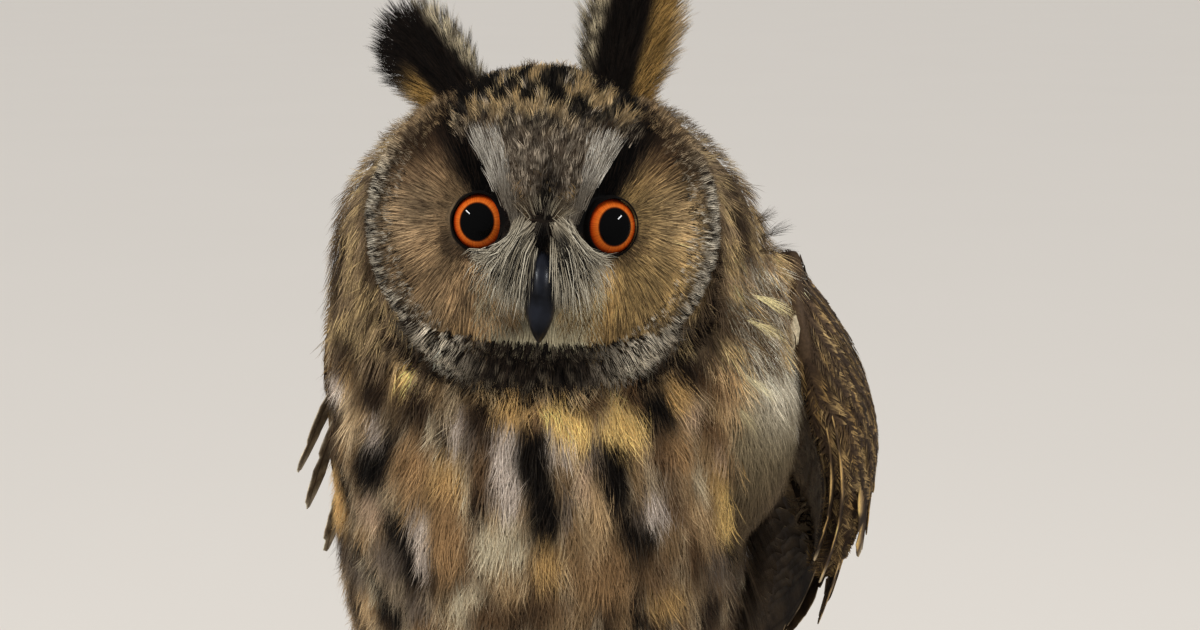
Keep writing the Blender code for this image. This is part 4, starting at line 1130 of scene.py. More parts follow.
def paint_down(roots, spots, s, t, barb, rng):
    """The soft pale down of the flank, brightest along the wing."""
    x, z = spots[..., 0], spots[..., 2]
    colour = blend((92, 76, 54), (138, 124, 96), ramp(z, 150, 190))
    colour = blend(colour, (226, 216, 193), 0.95 * ramp(x + 0.25 * (z - 180), 53, 68) * ramp(z, 172, 197))
    colour = blend(colour, (120, 100, 78), 0.5 * bump(np.hypot(x - 68, z - 160), 7))
    return colour * (0.9 + 0.2 * barb)[..., None]


def paint_leg(roots, spots, s, t, barb, rng):
    colour = blend((186, 148, 100), (212, 182, 138), barb) * np.ones((len(roots), 1, 1))
    return blend(colour, BROWN, 0.3 * (barb > 0.85))


def skin_paint(places):
    """The same markings on the skin itself, darker than the coat as painted shade between the feathers, so
    that no gap in the coat shows.
    """
    # Painted shade: the skin takes darker copies of the colours of the coat above it
    colour = blend(body_paint(places), DARK, 0.3)
    colour = blend(colour, (130, 116, 90), 0.8 * flank_share(places))
    colour = blend(colour, mantle_paint(places) * 0.8, ramp(places[:, 2], 206, 214))
    # The collar's black: black feathers and painted shade of the gap behind the rim
    colour[on_collar(places)] = DEEP
    disc = on_disc(places) & (disc_reach(places) < 0.99)
    colour[disc] = face_paint(places[disc]) * 0.62
    return blend(colour, (160, 126, 84), 1 - ramp(places[:, 2], 60, LEG_TOP))


# The pieces of the coat

def face_coat(skin):
    """The disc, forehead, rim, bridge, brows and whiskers, and the ruff, collar and chin."""
    fine_brush = family(brush_form, 0, 8, 6, 1.25, 0.075)
    bristles = family(brush_form, 20, 8, 5, 1.3, 0.08)
    curls = family(brush_form, 40, 8, 7, 1.1, 0.12, (0.0, 0.5, 1.0))
    face_side, head_side = unwrap_head(1.5), unwrap_head(3.1)
    on_face_looks = {"slot": "face_feathers", "material": FINE}

    def wedge(places):
        across, up, _ = face_of(places)
        beyond, _ = past_brow(np.abs(across), up)
        above = (up >= BROW[1][1]) & (np.abs(across) < 23)
        return (((beyond < -4) & (up > 2)) | above) & (up < 48)

    def brow_region(places):
        across, up, _ = face_of(places)
        beyond, along = past_brow(np.abs(across), up)
        width = 1.8 + 6.0 * np.clip(along, 0, 1) ** 1.5
        return on_disc(places) & (beyond < -0.6) & (beyond > -0.6 - width) & (up > -4) & (up < 19)

    def bridge_region(places):
        across, up, _ = face_of(places)
        return on_disc(places) & (np.abs(across) < 4.8) & (up <= 3.4) & (up > -13)

    def disc_region(places):
        across, up, _ = face_of(places)
        closed = wedge(places) | brow_region(places) | bridge_region(places)
        open_part = (from_eye(places) > 7.6) & (disc_reach(places) < 0.9) & ~closed
        chin = (np.abs(across) < 13.5) & (up < -23)
        return on_disc(places) & open_part & ~((np.abs(across) < 8) & (up < -2)) & (up > -31) & ~chin

    def disc_length(roots):
        longest = 2.2 + 44.0 * np.clip(0.88 - disc_reach(roots), 0, 1)
        return np.minimum(3.0 + 6.0 * ramp(from_eye(roots), 8.5, 18), longest)

    def rim_region(places):
        _, up, _ = face_of(places)
        reach = disc_reach(places)
        return on_disc(places) & (reach > 0.8) & (up < 36) & (up > -31) & ~wedge(places)

    def chin_region(places):
        across, up, _ = face_of(places)
        return on_disc(places) & (np.abs(across) < 14.5) & (up < -14) & (up > -32)

    coat("disc_coat", skin, 0.9, disc_region, lie_from_eye, disc_length, fine_brush, 1.3, (0.1, 1.7),
         paint_disc, face_side, 3, puff=0.35, sway=0.1, tone=0.12, strand=0.3, **on_face_looks)
    coat("forehead_coat", skin, 1.05, lambda p: on_disc(p) & wedge(p), lie_forehead,
         lambda p: 3.2 + 1.6 * ramp(face_of(p)[1], 0, 30), curls, 1.0, (0.3, 2.2), paint_forehead,
         face_side, 4, puff=0.6, sway=0.25, twist=0.4, tone=0.12, **on_face_looks)
    coat("rim_coat", skin, 0.9, rim_region, lie_outward, 2.3, curls, 0.75, (0.2, 2.2), paint_rim,
         face_side, 5, puff=0.8, sway=0.3, twist=0.4, tone=0.1, steps=2, **on_face_looks)
    coat("bridge_coat", skin, 0.8, bridge_region, lie_bridge, 5.2, bristles, 1.1, (0.3, 3.8),
         paint_bridge, face_side, 15, puff=0.6, sway=0.14, **on_face_looks)
    coat("brow_coat", skin, 0.85, brow_region, lie_brow, 8.0, bristles, 1.2, (0.4, 2.8), paint_brow,
         face_side, 14, puff=0.4, sway=0.08, **on_face_looks)
    whiskers(skin, bristles, face_side, on_face_looks)

    def ruff_region(places):
        across, up, forward = face_of(places)
        return (up < -31 + 0.004 * across**2) & (disc_reach(places) < 1.08) & (forward > -20)

    coat("ruff_coat", skin, 0.85, ruff_region, lie_outward, 3.2, curls, 0.9, (0.3, 4.2), paint_ruff,
         head_side, 26, puff=0.9, sway=0.3, twist=0.5, tone=0.1, steps=2, **on_face_looks)
    coat("collar_coat", skin, 1.2, on_collar, lie_outward, 4.4, curls, 1.2, (0.3, 3.2), paint_collar,
         head_side, 23, puff=0.8, sway=0.25, twist=0.3, tone=0.1, steps=2, **on_face_looks)
    coat("chin_coat", skin, 1.1, chin_region, lie_outward, 5.0, fine_brush, 1.4, (0.2, 1.6),
         paint_chin, face_side, 7, puff=0.4, steps=2, **on_face_looks)


def body_coat(skin):
    """The head behind the disc, the breast, the back and the down of the flank."""
    loose = family(plume_form, 60, 12, 24, 0.02)
    short = family(plume_form, 100, 10, 16, 0.03)
    firm = family(contour_form, 70, 8, 14, 0.46, 0.12)
    down = family(brush_form, 80, 6, 12, 1.5, 0.03)

    def on_flank(places):
        return flank_share(places) > 0.4

    def upper(places):
        high = places[:, 2] > TRUNK_TOP
        return (~on_disc(places) | (face_of(places)[1] > 40)) & high & ~on_collar(places)

    def trunk(places):
        return (places[:, 2] <= TRUNK_TOP) & (places[:, 2] > TRUNK_FOOT) & ~on_flank(places)

    coat("head_coat", skin, 3.0, upper, lie_down_body,
         lambda p: 7.0 + 8.0 * (1 - ramp(p[:, 2], 220, 275)), short,
         lambda p: 2.6 + 1.6 * (1 - ramp(p[:, 2], 220, 275)), (0.4, 4.2), paint_nape, unwrap_head(3.1),
         8, twist=0.3, sway=0.14, strand=0.2)
    coat("breast_coat", skin, 3.1, lambda p: trunk(p) & (front_share(p) > 0.35), lie_down_body, 16.0,
         loose, 4.6, (0.4, 4.8), paint_body, unwrap_body, 9, twist=0.3, tone=0.06, steps=4, strand=0.2,
         sway=0.2)
    coat("back_coat", skin, 5.2, lambda p: trunk(p) & (front_share(p) <= 0.35), lie_down_body, 19.0,
         firm, 5.6, (0.4, 4.4), paint_nape, unwrap_body, 10, twist=0.16, steps=4)
    coat("flank_down", skin, 2.1, on_flank, lie_down_body, 9.5, down, 3.6, (0.3, 3.2), paint_down,
         unwrap_body, 12, puff=0.3, sway=0.25, steps=3)


def stray_coat(plumes):
    """Loose feathers at the left shoulder."""
    places, ways, sizes, tints = (np.array(part, float) for part in zip(*STRAYS))
    lines = places + ways * sizes[:, None] * np.linspace(0, 1, 5)[:, None, None]
    lines[..., 2] -= 0.12 * sizes * np.linspace(0, 1, 5)[:, None] ** 2
    normals = np.broadcast_to(unit(np.array((0.5, -0.85, 0.2))), lines.shape)

    def paint_stray(roots, spots, s, t, barb, rng):
        own = np.linalg.norm(roots[:, None] - places[None], axis=2).argmin(1)
        tint = tints[own][:, None] * np.ones_like(s + t)[..., None]
        return blend(tint, DARK, 0.5 * bump(t, 0.2) * (tint[..., 0] < 150))

    feathers("stray_plumes", lines, normals, plumes, 2.2, (0.3, 1.5), paint_stray, "body_feathers",
             unwrap_body, SOFT, seed=25)


def side_coat(skin, plumes):
    """Long plumes between the belly and the left wing, dark brown partly as painted shade in the gap there.
    """

    def beside_wing(places):
        x, y, z = places.T
        return (x > 38) & (y > 20) & (y < 72) & (z > 104) & (z < 165)

    def paint_side(roots, spots, s, t, barb, rng):
        # Dark brown: the plumes' own colour and painted shade of the gap between belly and wing
        return blend((72, 58, 44), (124, 104, 80), barb) * np.ones((len(roots), 1, 1))

    coat("side_plumes", skin, 3.0, beside_wing, lambda p: np.tile((0.75, 0.25, -1.0), (len(p), 1)), 34.0,
         plumes, 5.5, (0.5, 18.0), paint_side, unwrap_body, 24, steps=4)


def leg_coat(skin):
    legs = family(brush_form, 90, 5, 6, 1.3, 0.12)
    coat("leg_coat", skin, 2.2, lambda p: (p[:, 2] <= LEG_TOP) & (p[:, 1] < 70) & (p[:, 2] > 2.5), lie_leg,
         lambda p: 4.0 + 9.0 * ramp(p[:, 2], 12, 70), legs,
         lambda p: 1.2 + 1.6 * ramp(p[:, 2], 12, 70), (0.1, 2.2), paint_leg, unwrap_legs, 13,
         slot="leg_feathers", puff=0.3)


def clothe(skin):
    plumes = family(plume_form, 150, 6, 30, 0.02)
    face_coat(skin)
    body_coat(skin)
    stray_coat(plumes)
    side_coat(skin, plumes)
    leg_coat(skin)


def whiskers(skin, forms, unwrap, looks):
    """The bristles beside the bill, which fan out and bend down like a fountain."""

    def region(places):
        across, up, _ = face_of(places)
        side = np.abs(across)
        return on_disc(places) & (side > 2.2) & (side < 8.6 + 0.25 * up) & (up < 1.5) & (up > -14.5)

    rng = np.random.default_rng(6)
    roots = skin.scatter(0.72, region, 6)
    across, up, forward = face_of(roots)
    side = np.where(across < 0, -1.0, 1.0)
    count = len(roots)
    turn = 0.5 + 0.125 * (np.abs(across) - 5.0) + 0.05 * (up + 6) + rng.normal(0, 0.16, count)
    turn = np.clip(turn, 0, 1)
    reach = rng.uniform(0.8, 1.06, count) * (1 - 0.25 * ramp(up, -6, 1.5))
    tip_side = (4.0 + 18.5 * turn**0.85) * reach
    tip_up = -26.0 + 13.5 * turn**2.2 + 18.0 * (1 - reach)
    share = np.linspace(0, 1, 6)[:, None]
    level = np.abs(across) + (tip_side - np.abs(across)) * (1 - (1 - share) ** 1.5)
    height = up + (tip_up - up) * (0.35 * share + 0.65 * share**1.9)
    apart = np.hypot(level - EYE_ACROSS, height)
    push = np.maximum(8.7 / np.maximum(apart, 1e-6), 1.0)
    level, height = EYE_ACROSS + (level - EYE_ACROSS) * push, height * push
    rise = forward + 0.8 + (3.2 + rng.uniform(0, 2.0, count)) * np.sin(math.pi * share * 0.75)
    lines = face_vector(side * level, height, rise) + FACE_CENTRE
    spots, normals = skin.nearest(lines)
    low = 1.0 - ((lines - spots) * normals).sum(-1, keepdims=True)
    lines = lines + normals * np.clip(low, 0, None)
    feathers("whisker_coat", lines, normals, forms, 1.5, (0.0, 0.6), paint_whiskers, "face_feathers", unwrap,
             FINE, seed=6, puff=0.5, sway=0.05)


# Wings, tail and ear tufts

# A vane: how much its slope clears its neighbour, its thickness, and the step along it
VANE_LIFT = 1.02
VANE_THICKNESS = 0.35
VANE_STEP = 3.2
VANE_COLUMNS = np.array((-1.0, -0.74, -0.42, -0.12, 0.0, 0.12, 0.42, 0.74, 1.0))
ARM_SECTIONS = (
    (-9.0, -7.0, 9.0, 0.0, 3.0),
    (2.0, -20.0, 21.0, -4.0, 6.0),
    (26.0, -28.0, 31.0, -5.5, 8.0),
    (56.0, -31.0, 37.0, -5.5, 8.4),
    (84.0, -30.0, 37.0, -4.8, 6.8),
    (104.0, -26.0, 33.0, -3.6, 3.8),
    (116.0, -19.0, 26.0, -2.0, 1.6),
)


class Sheet:
    """A curved surface that feathers lie on: arrays of along, across and above to places."""

    def __init__(self, axis, outward, bend, side=1, clearance=None):
        self.points = spline(axis, 80)
        steps = np.linalg.norm(np.diff(self.points, axis=0), axis=1)
        self.reached = np.concatenate([[0.0], np.cumsum(steps)])
        self.length = self.reached[-1]
        self.outward, self.bend, self.side, self.clearance = np.array(outward), bend, side, clearance

    def axis(self, along):
        return np.stack([np.interp(along, self.reached, self.points[:, i]) for i in range(3)], -1)

    def place(self, along, across, above):
        """The places and the directions away from the body there."""
        along, across, above = np.broadcast_arrays(along, across, above)
        clamped = np.clip(along, 0, self.length)
        ends = (np.clip(clamped + step, 0, self.length) for step in (6, -6))
        ahead = unit(self.axis(next(ends)) - self.axis(next(ends)))
        point = self.axis(clamped) + ahead * (along - clamped)[..., None]
        normal = unit(self.outward - ahead * (ahead @ self.outward)[..., None])
        back = np.cross(ahead, normal) * -self.side
        angle = (across / self.bend)[..., None]
        lifted = normal * np.cos(angle) + back * np.sin(angle)
        base = point + (lifted - normal) * self.bend
        if self.clearance is not None:
            base = outside_body(base, self.clearance)
        return base + lifted * above[..., None], lifted

    def lines(self, roots, tips, stations=5):
        """Lines from roots to tips, each given as rows of along, across and above."""
        share = np.linspace(0, 1, stations)[:, None, None]
        rows = np.asarray(roots, float) + (np.asarray(tips, float) - roots) * share
        return self.place(rows[..., 0], rows[..., 1], rows[..., 2])


def vanes(name, sheet, rows, seed):
    """Long feathers on a sheet: thin closed vanes with a shaft, parted edges and painted marks.

    Each row gives root, tip, widths in front of and behind the shaft, spacing at root and tip,
    the lean and the paint, a function of (s, t, random generator).
    """
    rng = np.random.default_rng(seed)
    columns = len(VANE_COLUMNS)
    points, faces, paint, uv = [], [], [], []
    first = 0
    for k, (root, tip, widths, spacing, lean, painter) in enumerate(rows):
        root, tip = np.array(root, float), np.array(tip, float)
        count = max(14, int(np.linalg.norm(tip - root) / VANE_STEP))
        s = np.linspace(0, 1, count)[:, None] ** 0.85
        full = 0.45 + 0.55 * ramp(s, 0.0, 0.45)
        full = full * np.where(s > 0.7, np.sqrt(np.clip(1 - ((s - 0.7) / 0.302) ** 2, 0.02, 1)), 1)
        parted = rng.uniform(size=(count, 2)) < 0.1
        edges = 1 - 0.1 * rng.uniform(size=(count, 2)) - 0.35 * parted * (s > 0.2)
        t = VANE_COLUMNS[None]
        half = np.where(t < 0, widths[0] * edges[:, :1], widths[1] * edges[:, 1:])
        offset = t * half * full
        slope = lean * VANE_LIFT / (spacing[0] + (spacing[1] - spacing[0]) * s)
        centre = root + (tip - root) * s
        sweep = 0.22 * np.abs(offset) * (1 - s)
        ripple = 0.12 * np.sin(9 * s + 2 * t + k)
        above = centre[:, 2:] - slope * offset + 0.3 * bump(t, 0.15) + ripple * np.abs(t)
        along, across = centre[:, :1] + sweep, centre[:, 1:2] + offset
        top, up = sheet.place(along, across, above)
        grid = np.arange(count * columns).reshape(count, columns)
        a, b, c, d = (part.ravel() for part in (grid[:-1, :-1], grid[:-1, 1:], grid[1:, 1:], grid[1:, :-1]))
        sheets = np.concatenate([np.stack([a, b, c], 1), np.stack([a, c, d], 1)])
        border = np.concatenate([grid[0], grid[1:, -1], grid[-1, -2::-1], grid[-2:0:-1, 0]])
        after = np.roll(border, -1)
        below = count * columns
        strip = np.concatenate([
            np.stack([border, border + below, after + below], 1),
            np.stack([border, after + below, after], 1),
        ])
        faces.append(np.concatenate([sheets, sheets[:, ::-1] + below, strip]) + first)
        points += [top.reshape(-1, 3), (top - up * VANE_THICKNESS).reshape(-1, 3)]
        colour = painter(s, t + np.zeros_like(s), rng)
        colour = colour * (1 + rng.normal(0, 0.06))
        colour = colour * (1 + 0.1 * rng.normal(size=(count, 1, 1)) * (s > 0.1)[..., None])
        # Painted shade: the underside is a darker copy of the top, less so at the tip
        under = blend(colour * 0.8, (58, 47, 36), painter.under * (1 - 0.5 * ramp(s, 0.8, 1.0)))
        paint += [colour.reshape(-1, 3), under.reshape(-1, 3)]
        corner = np.array((0.05 + 0.9 * ((k * 0.618) % 1), 0.05 + 0.9 * k / len(rows)))
        spot = np.stack(np.broadcast_arrays(t * 0.5, s - 0.5), -1).reshape(-1, 2) * PATCH + corner
        uv += [spot, spot]
        first += 2 * below
    piece(name, np.concatenate(points), np.concatenate(faces), FIRM, np.concatenate(paint),
          np.concatenate(uv))


def painted(ground, edge, bar, period, tip=None, centre=None, under=0.75):
    """A painter of vanes: ground, edge, bars so many a feather, tip, dark middle, and painted shade below.
    """

    def painter(s, t, rng):
        colour = blend(ground, edge, ramp(np.abs(t), 0.55, 0.95))
        if centre is not None:
            colour = blend(colour, centre, bump(t, 0.5) * ramp(s, 0.1, 0.4))
        wave = np.sin(math.tau * (s * period + 0.2 * np.abs(t) + rng.uniform()) + 0.5 * np.sin(5 * t))
        colour = blend(colour, bar, 0.85 * ramp(wave, -0.1, 0.45))
        if tip is not None:
            colour = blend(colour, tip, 0.8 * ramp(s, 0.82, 0.95))
        return blend(1.08 * colour, (60, 44, 30), 0.8 * bump(t, 0.09))

    # How much painted shade the underside takes
    painter.under = under
    return painter


def wing_arm(name, sheet):
    """The flesh of a folded wing, as a closed and slightly squared tube."""
    rings, sides = 40, 32
    rows = spline(ARM_SECTIONS, rings)
    turn = np.arange(sides) * math.tau / sides
    squared = (np.sign(f(turn)) * np.abs(f(turn)) ** 0.62 for f in (np.cos, np.sin))
    level, high = next(squared), next(squared)
    across = (rows[:, 1:2] + rows[:, 2:3]) / 2 + (rows[:, 2:3] - rows[:, 1:2]) / 2 * level
    above = (rows[:, 3:4] + rows[:, 4:5]) / 2 + (rows[:, 4:5] - rows[:, 3:4]) / 2 * high
    places, _ = sheet.place(rows[:, :1], across, above)
    skin = Skin(places.reshape(-1, 3), loft_faces(rings, sides))
    # Painted shade: the arm is dark brown, as the shade under its coverts and on its inner side
    dark = np.tile((74, 58, 42), (rings * sides, 1))
    piece(f"{name}_arm", skin.points, skin.triangles, BARE, dark, nodes=(name,))
    return skin


def wing_vanes(name, sheet, ruffled):
    """Any ruffled tips, then two tiers of coverts, secondaries, primaries and the front edge."""
    covert = painted((128, 105, 75), (202, 166, 104), (58, 45, 34), 3.0, (206, 188, 152), (52, 40, 30))
    pale = painted((168, 152, 126), (206, 194, 170), (130, 113, 92), 6.0, (216, 206, 186), under=0.1)
    long_covert = painted((158, 133, 100), (198, 165, 112), (76, 60, 45), 4.5, (206, 196, 176))
    secondary = painted((170, 149, 117), (194, 170, 132), (86, 69, 53), 7.0, (196, 188, 170))
    primary = painted((198, 163, 110), (174, 152, 119), (82, 66, 50), 8.5, (168, 158, 140))
    rows = [(root, tip, (4.0, 4.4), (3.0, 3.5), 1.0, pale) for root, tip in ruffled]
    for i, across in enumerate(np.linspace(-23, 31, 7)):
        root = (37.0 + 1.3 * math.sin(2.1 * i), across, 6.2)
        tip = (89.0 + 4.0 * math.sin(1.9 * i), across * 1.02, 9.6)
        rows.append((root, tip, (7.4, 7.4), (9.0, 9.1), 1.0, covert))
    for i, across in enumerate(np.linspace(-25, 32, 8)):
        root = (67.0 + 1.3 * math.sin(1.3 * i), across * 0.92, 3.2)
        tip = (132.0 - 0.12 * across + 3.0 * math.sin(2.3 * i), across, 6.0)
        rows.append((root, tip, (7.4, 7.6), (7.7, 8.4), 1.0, long_covert))
    for i, across in enumerate(np.linspace(-18, 31, 8)):
        root = (86.0 + 1.5 * math.sin(1.7 * i), across, 1.0)
        tip = (198.0 - 0.75 * across + 3.0 * math.sin(1.7 * i), 2 + across * 0.74, 2.2)
        rows.append((root, tip, (7.0, 9.5), (7.0, 5.2), 1.0, secondary))
    for i, across in enumerate(np.linspace(-27, -3, 7)):
        root = (80.0 + 1.4 * math.sin(2.6 * i), across, -2.2)
        tip = (283.0 - 1.9 * (i - 1.6) ** 2, -9.0 + 2.9 * i, -2.0)
        rows.append((root, tip, (4.6, 8.6), (4.0, 2.9), 1.0, primary))
    for i in range(2):
        root = (24.0 + 3.0 * i, -26.0 - 1.5 * i, 5.0 - 2.2 * i)
        tip = (92.0 - 14.0 * i, -37.0 - 2.4 * i, 3.2 - 2.2 * i)
        rows.append((root, tip, (4.5, 5.5), (4.0, 4.0), 1.0, covert))
    vanes(f"{name}_vanes", sheet, rows, 31)


def wing_coverts(name, sheet, skin):
    """Small coverts on the arm's outer side and front edge, and the lining on its inner side."""
    firm = family(contour_form, 110, 6, 14, 0.4, 0.06)
    samples = np.linspace(-9, 116, 60)
    axis, _ = sheet.place(samples, 0 * samples, 0 * samples)
    out, _ = sheet.place(samples, 0 * samples, 0 * samples + 1)
    aside, _ = sheet.place(samples, 0 * samples + 4, 0 * samples)

    def nearest(places):
        return np.linalg.norm(places[:, None] - axis[None], axis=2).argmin(1)

    def lie(places):
        return np.gradient(axis, axis=0)[nearest(places)]

    def outer(places):
        k = nearest(places)
        return ((places - axis[k]) * (out[k] - axis[k])).sum(1) > -1.0

    def edge(places):
        k = nearest(places)
        return ((places - axis[k]) * unit(aside[k] - axis[k])).sum(1) < -17.0

    def unwrap(places):
        return (places @ np.array(((0.6, -0.3), (0.4, 1.0), (0.8, 0.2))) / 400 + 0.5) % 1

    coat(f"{name}_coverts", skin, 4.2, lambda p: (outer(p) & (nearest(p) < 40)) | edge(p), lie, 17.0, firm,
         3.8, (0.1, 1.4), paint_covert, unwrap, 33, steps=4, puff=0.3, twist=0.06)
    coat(f"{name}_lining", skin, 4.8, lambda p: ~outer(p) & ~edge(p), lie, 17.0, firm, 4.6, (0.1, 1.3),
         paint_lining, unwrap, 34, steps=4, puff=0.3, twist=0.06)


def wing(name, sheet, ruffled=()):
    skin = wing_arm(name, sheet)
    wing_vanes(name, sheet, ruffled)
    wing_coverts(name, sheet, skin)


def paint_covert(roots, spots, s, t, barb, rng):
    """Small coverts: dark brown with ochre edges."""
    edge = ramp(np.abs(t) + 0.3 * (barb - 0.5), 0.35, 0.8)
    tint = rng.uniform(0, 1, len(roots))
    rim = blend((168, 134, 80), (206, 176, 120), tint)[:, None]
    colour = blend((62, 48, 36), rim, edge * ramp(s, 0.2, 0.6))
    wave = np.sin(math.tau * s * 4 + 5 * barb)
    return blend(colour, (70, 54, 38), 0.5 * ramp(wave, 0, 0.8))


def paint_lining(roots, spots, s, t, barb, rng):
    colour = blend((100, 84, 62), (142, 124, 98), rng.uniform(0, 1, len(roots)))[:, None]
    colour = colour * np.ones_like(s + t)[..., None]
    colour = blend(colour, (80, 62, 44), 0.6 * bump(t, 0.4) * (barb > 0.3))
    front = ramp(roots[:, 2], 158, 190) * (1 - ramp(roots[:, 1], 6, 22)) * (roots[:, 0] > 0)
    return blend(colour, (196, 184, 156), 0.9 * front[:, None])


def tail():
    """Twelve tail feathers that fan from one root, the middle pair on top."""
    sheet = Sheet(TAIL_AXIS, (0.0, 0.6, 0.8), 90.0)
    turn = np.arange(24) * math.tau / 24
    stub = np.array(((-4, 13, 7), (8, 18, 8), (20, 20, 6.5), (32, 19, 4.5), (42, 14, 2)), float)
    stub = spline(stub, 20)
    places, _ = sheet.place(stub[:, :1], stub[:, 1:2] * np.cos(turn), 0.2 + stub[:, 2:] * np.sin(turn))
    root_points = places.reshape(-1, 3)
    dark = np.tile((110, 88, 62), (len(root_points), 1))
    piece("tail_root", root_points, loft_faces(20, 24), BARE, dark, nodes=("tail",))
    banded = painted((168, 136, 92), (182, 152, 108), (66, 50, 36), 7.5, (150, 140, 124))
    rows = []
    for side in (-1, 1):
        for i in range(6):
            on_top = side > 0 and i == 0
            inner, outer = (10.0 if i else 7.0 if on_top else 3.6), 7.0
            widths = (inner, outer) if side > 0 else (outer, inner)
            above = 2.2 - 0.75 * i + 1.8 * on_top
            root = (10.0 + 0.7 * i + 0.5 * side, side * (4.2 + 2.4 * i), above)
            tip = (sheet.length - 3.0 * i - 0.6 * side, side * (4.0 + 5.4 * i), above)
            rows.append((root, tip, widths, (7.0, 6.0), -0.8 * side, banded))
    vanes("tail_vanes", sheet, rows, 41)
    rng = np.random.default_rng(42)
    grid = np.array([(a, b) for a in np.arange(-2, 40, 5.0) for b in np.arange(-19, 20, 4.2)])
    grid = grid + rng.uniform(-1.5, 1.5, grid.shape)
    firm = family(contour_form, 120, 6, 12, 0.42, 0.1)
    for label, step in (("upper", 1), ("under", -1)):
        half, thick = (np.interp(grid[:, 0], stub[:, 0], stub[:, k]) for k in (1, 2))
        height = thick * np.sqrt(np.clip(1 - (grid[:, 1] / half) ** 2, 0.05, 1))
        roots = np.column_stack([grid, 0.2 + step * height])
        tips = np.column_stack([grid + (22.0, 0.0), step * np.maximum(height * 0.7, 3.4)])
        lines, normals = sheet.lines(roots, tips)
        feathers(f"tail_{label}_coverts", lines, normals * step, firm, 5.4, (0.0, 0.6), paint_nape,
                 "body_feathers", unwrap_body, SOFT, seed=43)


# Ear tuft: share of the length, half width and half thickness as shares of the greatest half width
TUFT_SHARES = (
    (-0.1, 0.5, 0.36), (0.1, 0.78, 0.42), (0.35, 1.0, 0.42), (0.55, 0.98, 0.36), (0.7, 0.7, 0.25),
    (0.77, 0.12, 0.06),
)


def ear_tuft(name, side, ends, half_width):
    """An ear tuft: a dark core in a plush coat of loose locks that fan from one point of the brow."""
    start, end, facing = (np.array(v) for v in ends)
    length = np.linalg.norm(end - start)
    along = (end - start) / length
    front = unit(facing - along * (facing @ along))
    out = np.cross(along, front)
    out = out * side * np.sign(out[0])
    rings, sides = 28, 24
    turn = np.arange(sides) * math.tau / sides
    shares = spline(TUFT_SHARES, rings)[:, None]
    middle = start + along * shares[..., :1] * length
    level = out * (half_width * shares[..., 1:2] * np.cos(turn)[:, None])
    deep = front * (half_width * shares[..., 2:] * np.sin(turn)[:, None])
    core = Skin((middle + level + deep).reshape(-1, 3), loft_faces(rings, sides))
    piece(f"{name}_core", core.points, core.triangles, BARE,
          np.tile((26, 20, 15), (rings * sides, 1)), nodes=(name,))

    def place_of(places):
        local = places - start
        return local @ along / length, local @ out / half_width, local @ front / half_width

    def paint(roots, spots, s, t, barb, rng):
        share, across, _ = place_of(spots)
        return paint_tuft(share, across, s, barb, side, cloud(spots, 3.0, 65))

    def unwrap(places):
        share, across, _ = place_of(places)
        return np.stack([0.25 + 0.5 * (side > 0) + 0.2 * across, 0.1 + 0.8 * share], 1) % 1

    locks = family(plume_form, 130, 8, 18, 0.035)
    rng = np.random.default_rng(51)
    roots = core.scatter(1.25, lambda p: np.ones(len(p)), 53)
    _, normals = core.nearest(roots)
    share, across, deep = place_of(roots)
    heading = along + 0.5 * np.outer(across, out) + 0.3 * np.outer(deep, front) + 0.3 * normals
    heading = unit(heading + rng.normal(0, 0.07, heading.shape))
    reach = rng.uniform(7.5, 11.0, len(roots)) * (0.75 + 0.25 * ramp(share, 0.0, 0.4))
    steps = np.linspace(0, 1, 4)[:, None, None]
    lines = roots + heading * reach[:, None] * steps
    feathers(f"{name}_coat", lines, np.broadcast_to(normals, lines.shape), locks, 1.7, (0.1, 0.8), paint,
             "tuft_feathers", unwrap, SOFT, seed=52, strand=0.25, sway=0.08, twist=0.3)


def paint_tuft(share, across, s, barb, side, cut):
    """Black, ochre on the outer side low down, whitish and frayed on the inner edge."""
    whole = np.ones_like(share + s)
    colour = blend((11, 9, 8), (34, 26, 20), barb * whole)
    high = 0.5 if side < 0 else 0.85
    outer = ramp(across, 0.15, 0.5) * (1 - ramp(share, high - 0.15, high + 0.1))
    ochre = blend((120, 90, 46), (196, 158, 92), barb * whole)
    ochre = blend(ochre, (206, 184, 148), 0.7 * ramp(across, 0.85, 1.2))
    colour = blend(colour, ochre, outer * (0.35 + 0.65 * (barb > 0.3)))
    edge = 0.8 if side < 0 else 0.66
    inner = ramp(-across, edge, edge + 0.35) * ramp(share, 0.05, 0.25)
    pale = blend((150, 134, 104), (226, 212, 178), barb * whole)
    return blend(colour, pale, inner * (barb > 0.3) * (0.4 + 0.6 * ramp(cut, 0.35, 0.6)))


# Eyes, lids, bill and claws

def eye(side):
    """The eyeball, its middle axis the object's own +Z, turned a little outwards."""
    name = "eye_left" if side > 0 else "eye_right"
    mesh = bpy.data.meshes.new("surface_" + name)
    work = bmesh.new()
    bmesh.ops.create_uvsphere(work, u_segments=64, v_segments=48, radius=EYE_RADIUS * MM)
    work.to_mesh(mesh)
    work.free()
    mesh.shade_smooth()
    mesh.materials.append(EYE)
    made = bpy.data.objects.new("surface_" + name, mesh)
    bpy.context.scene.collection.objects.link(made)
    turn = FACE_TURN @ Matrix.Rotation(side * EYE_TURNS[side], 3, "Z") @ Matrix.Rotation(math.pi / 2, 3, "X")
    middle = to_world(on_face(side * EYE_ACROSS, 0.0, EYE_FORWARD))
    made.matrix_world = Matrix.Translation(middle) @ turn.to_4x4()
    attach(made, "root")
    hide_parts(name)


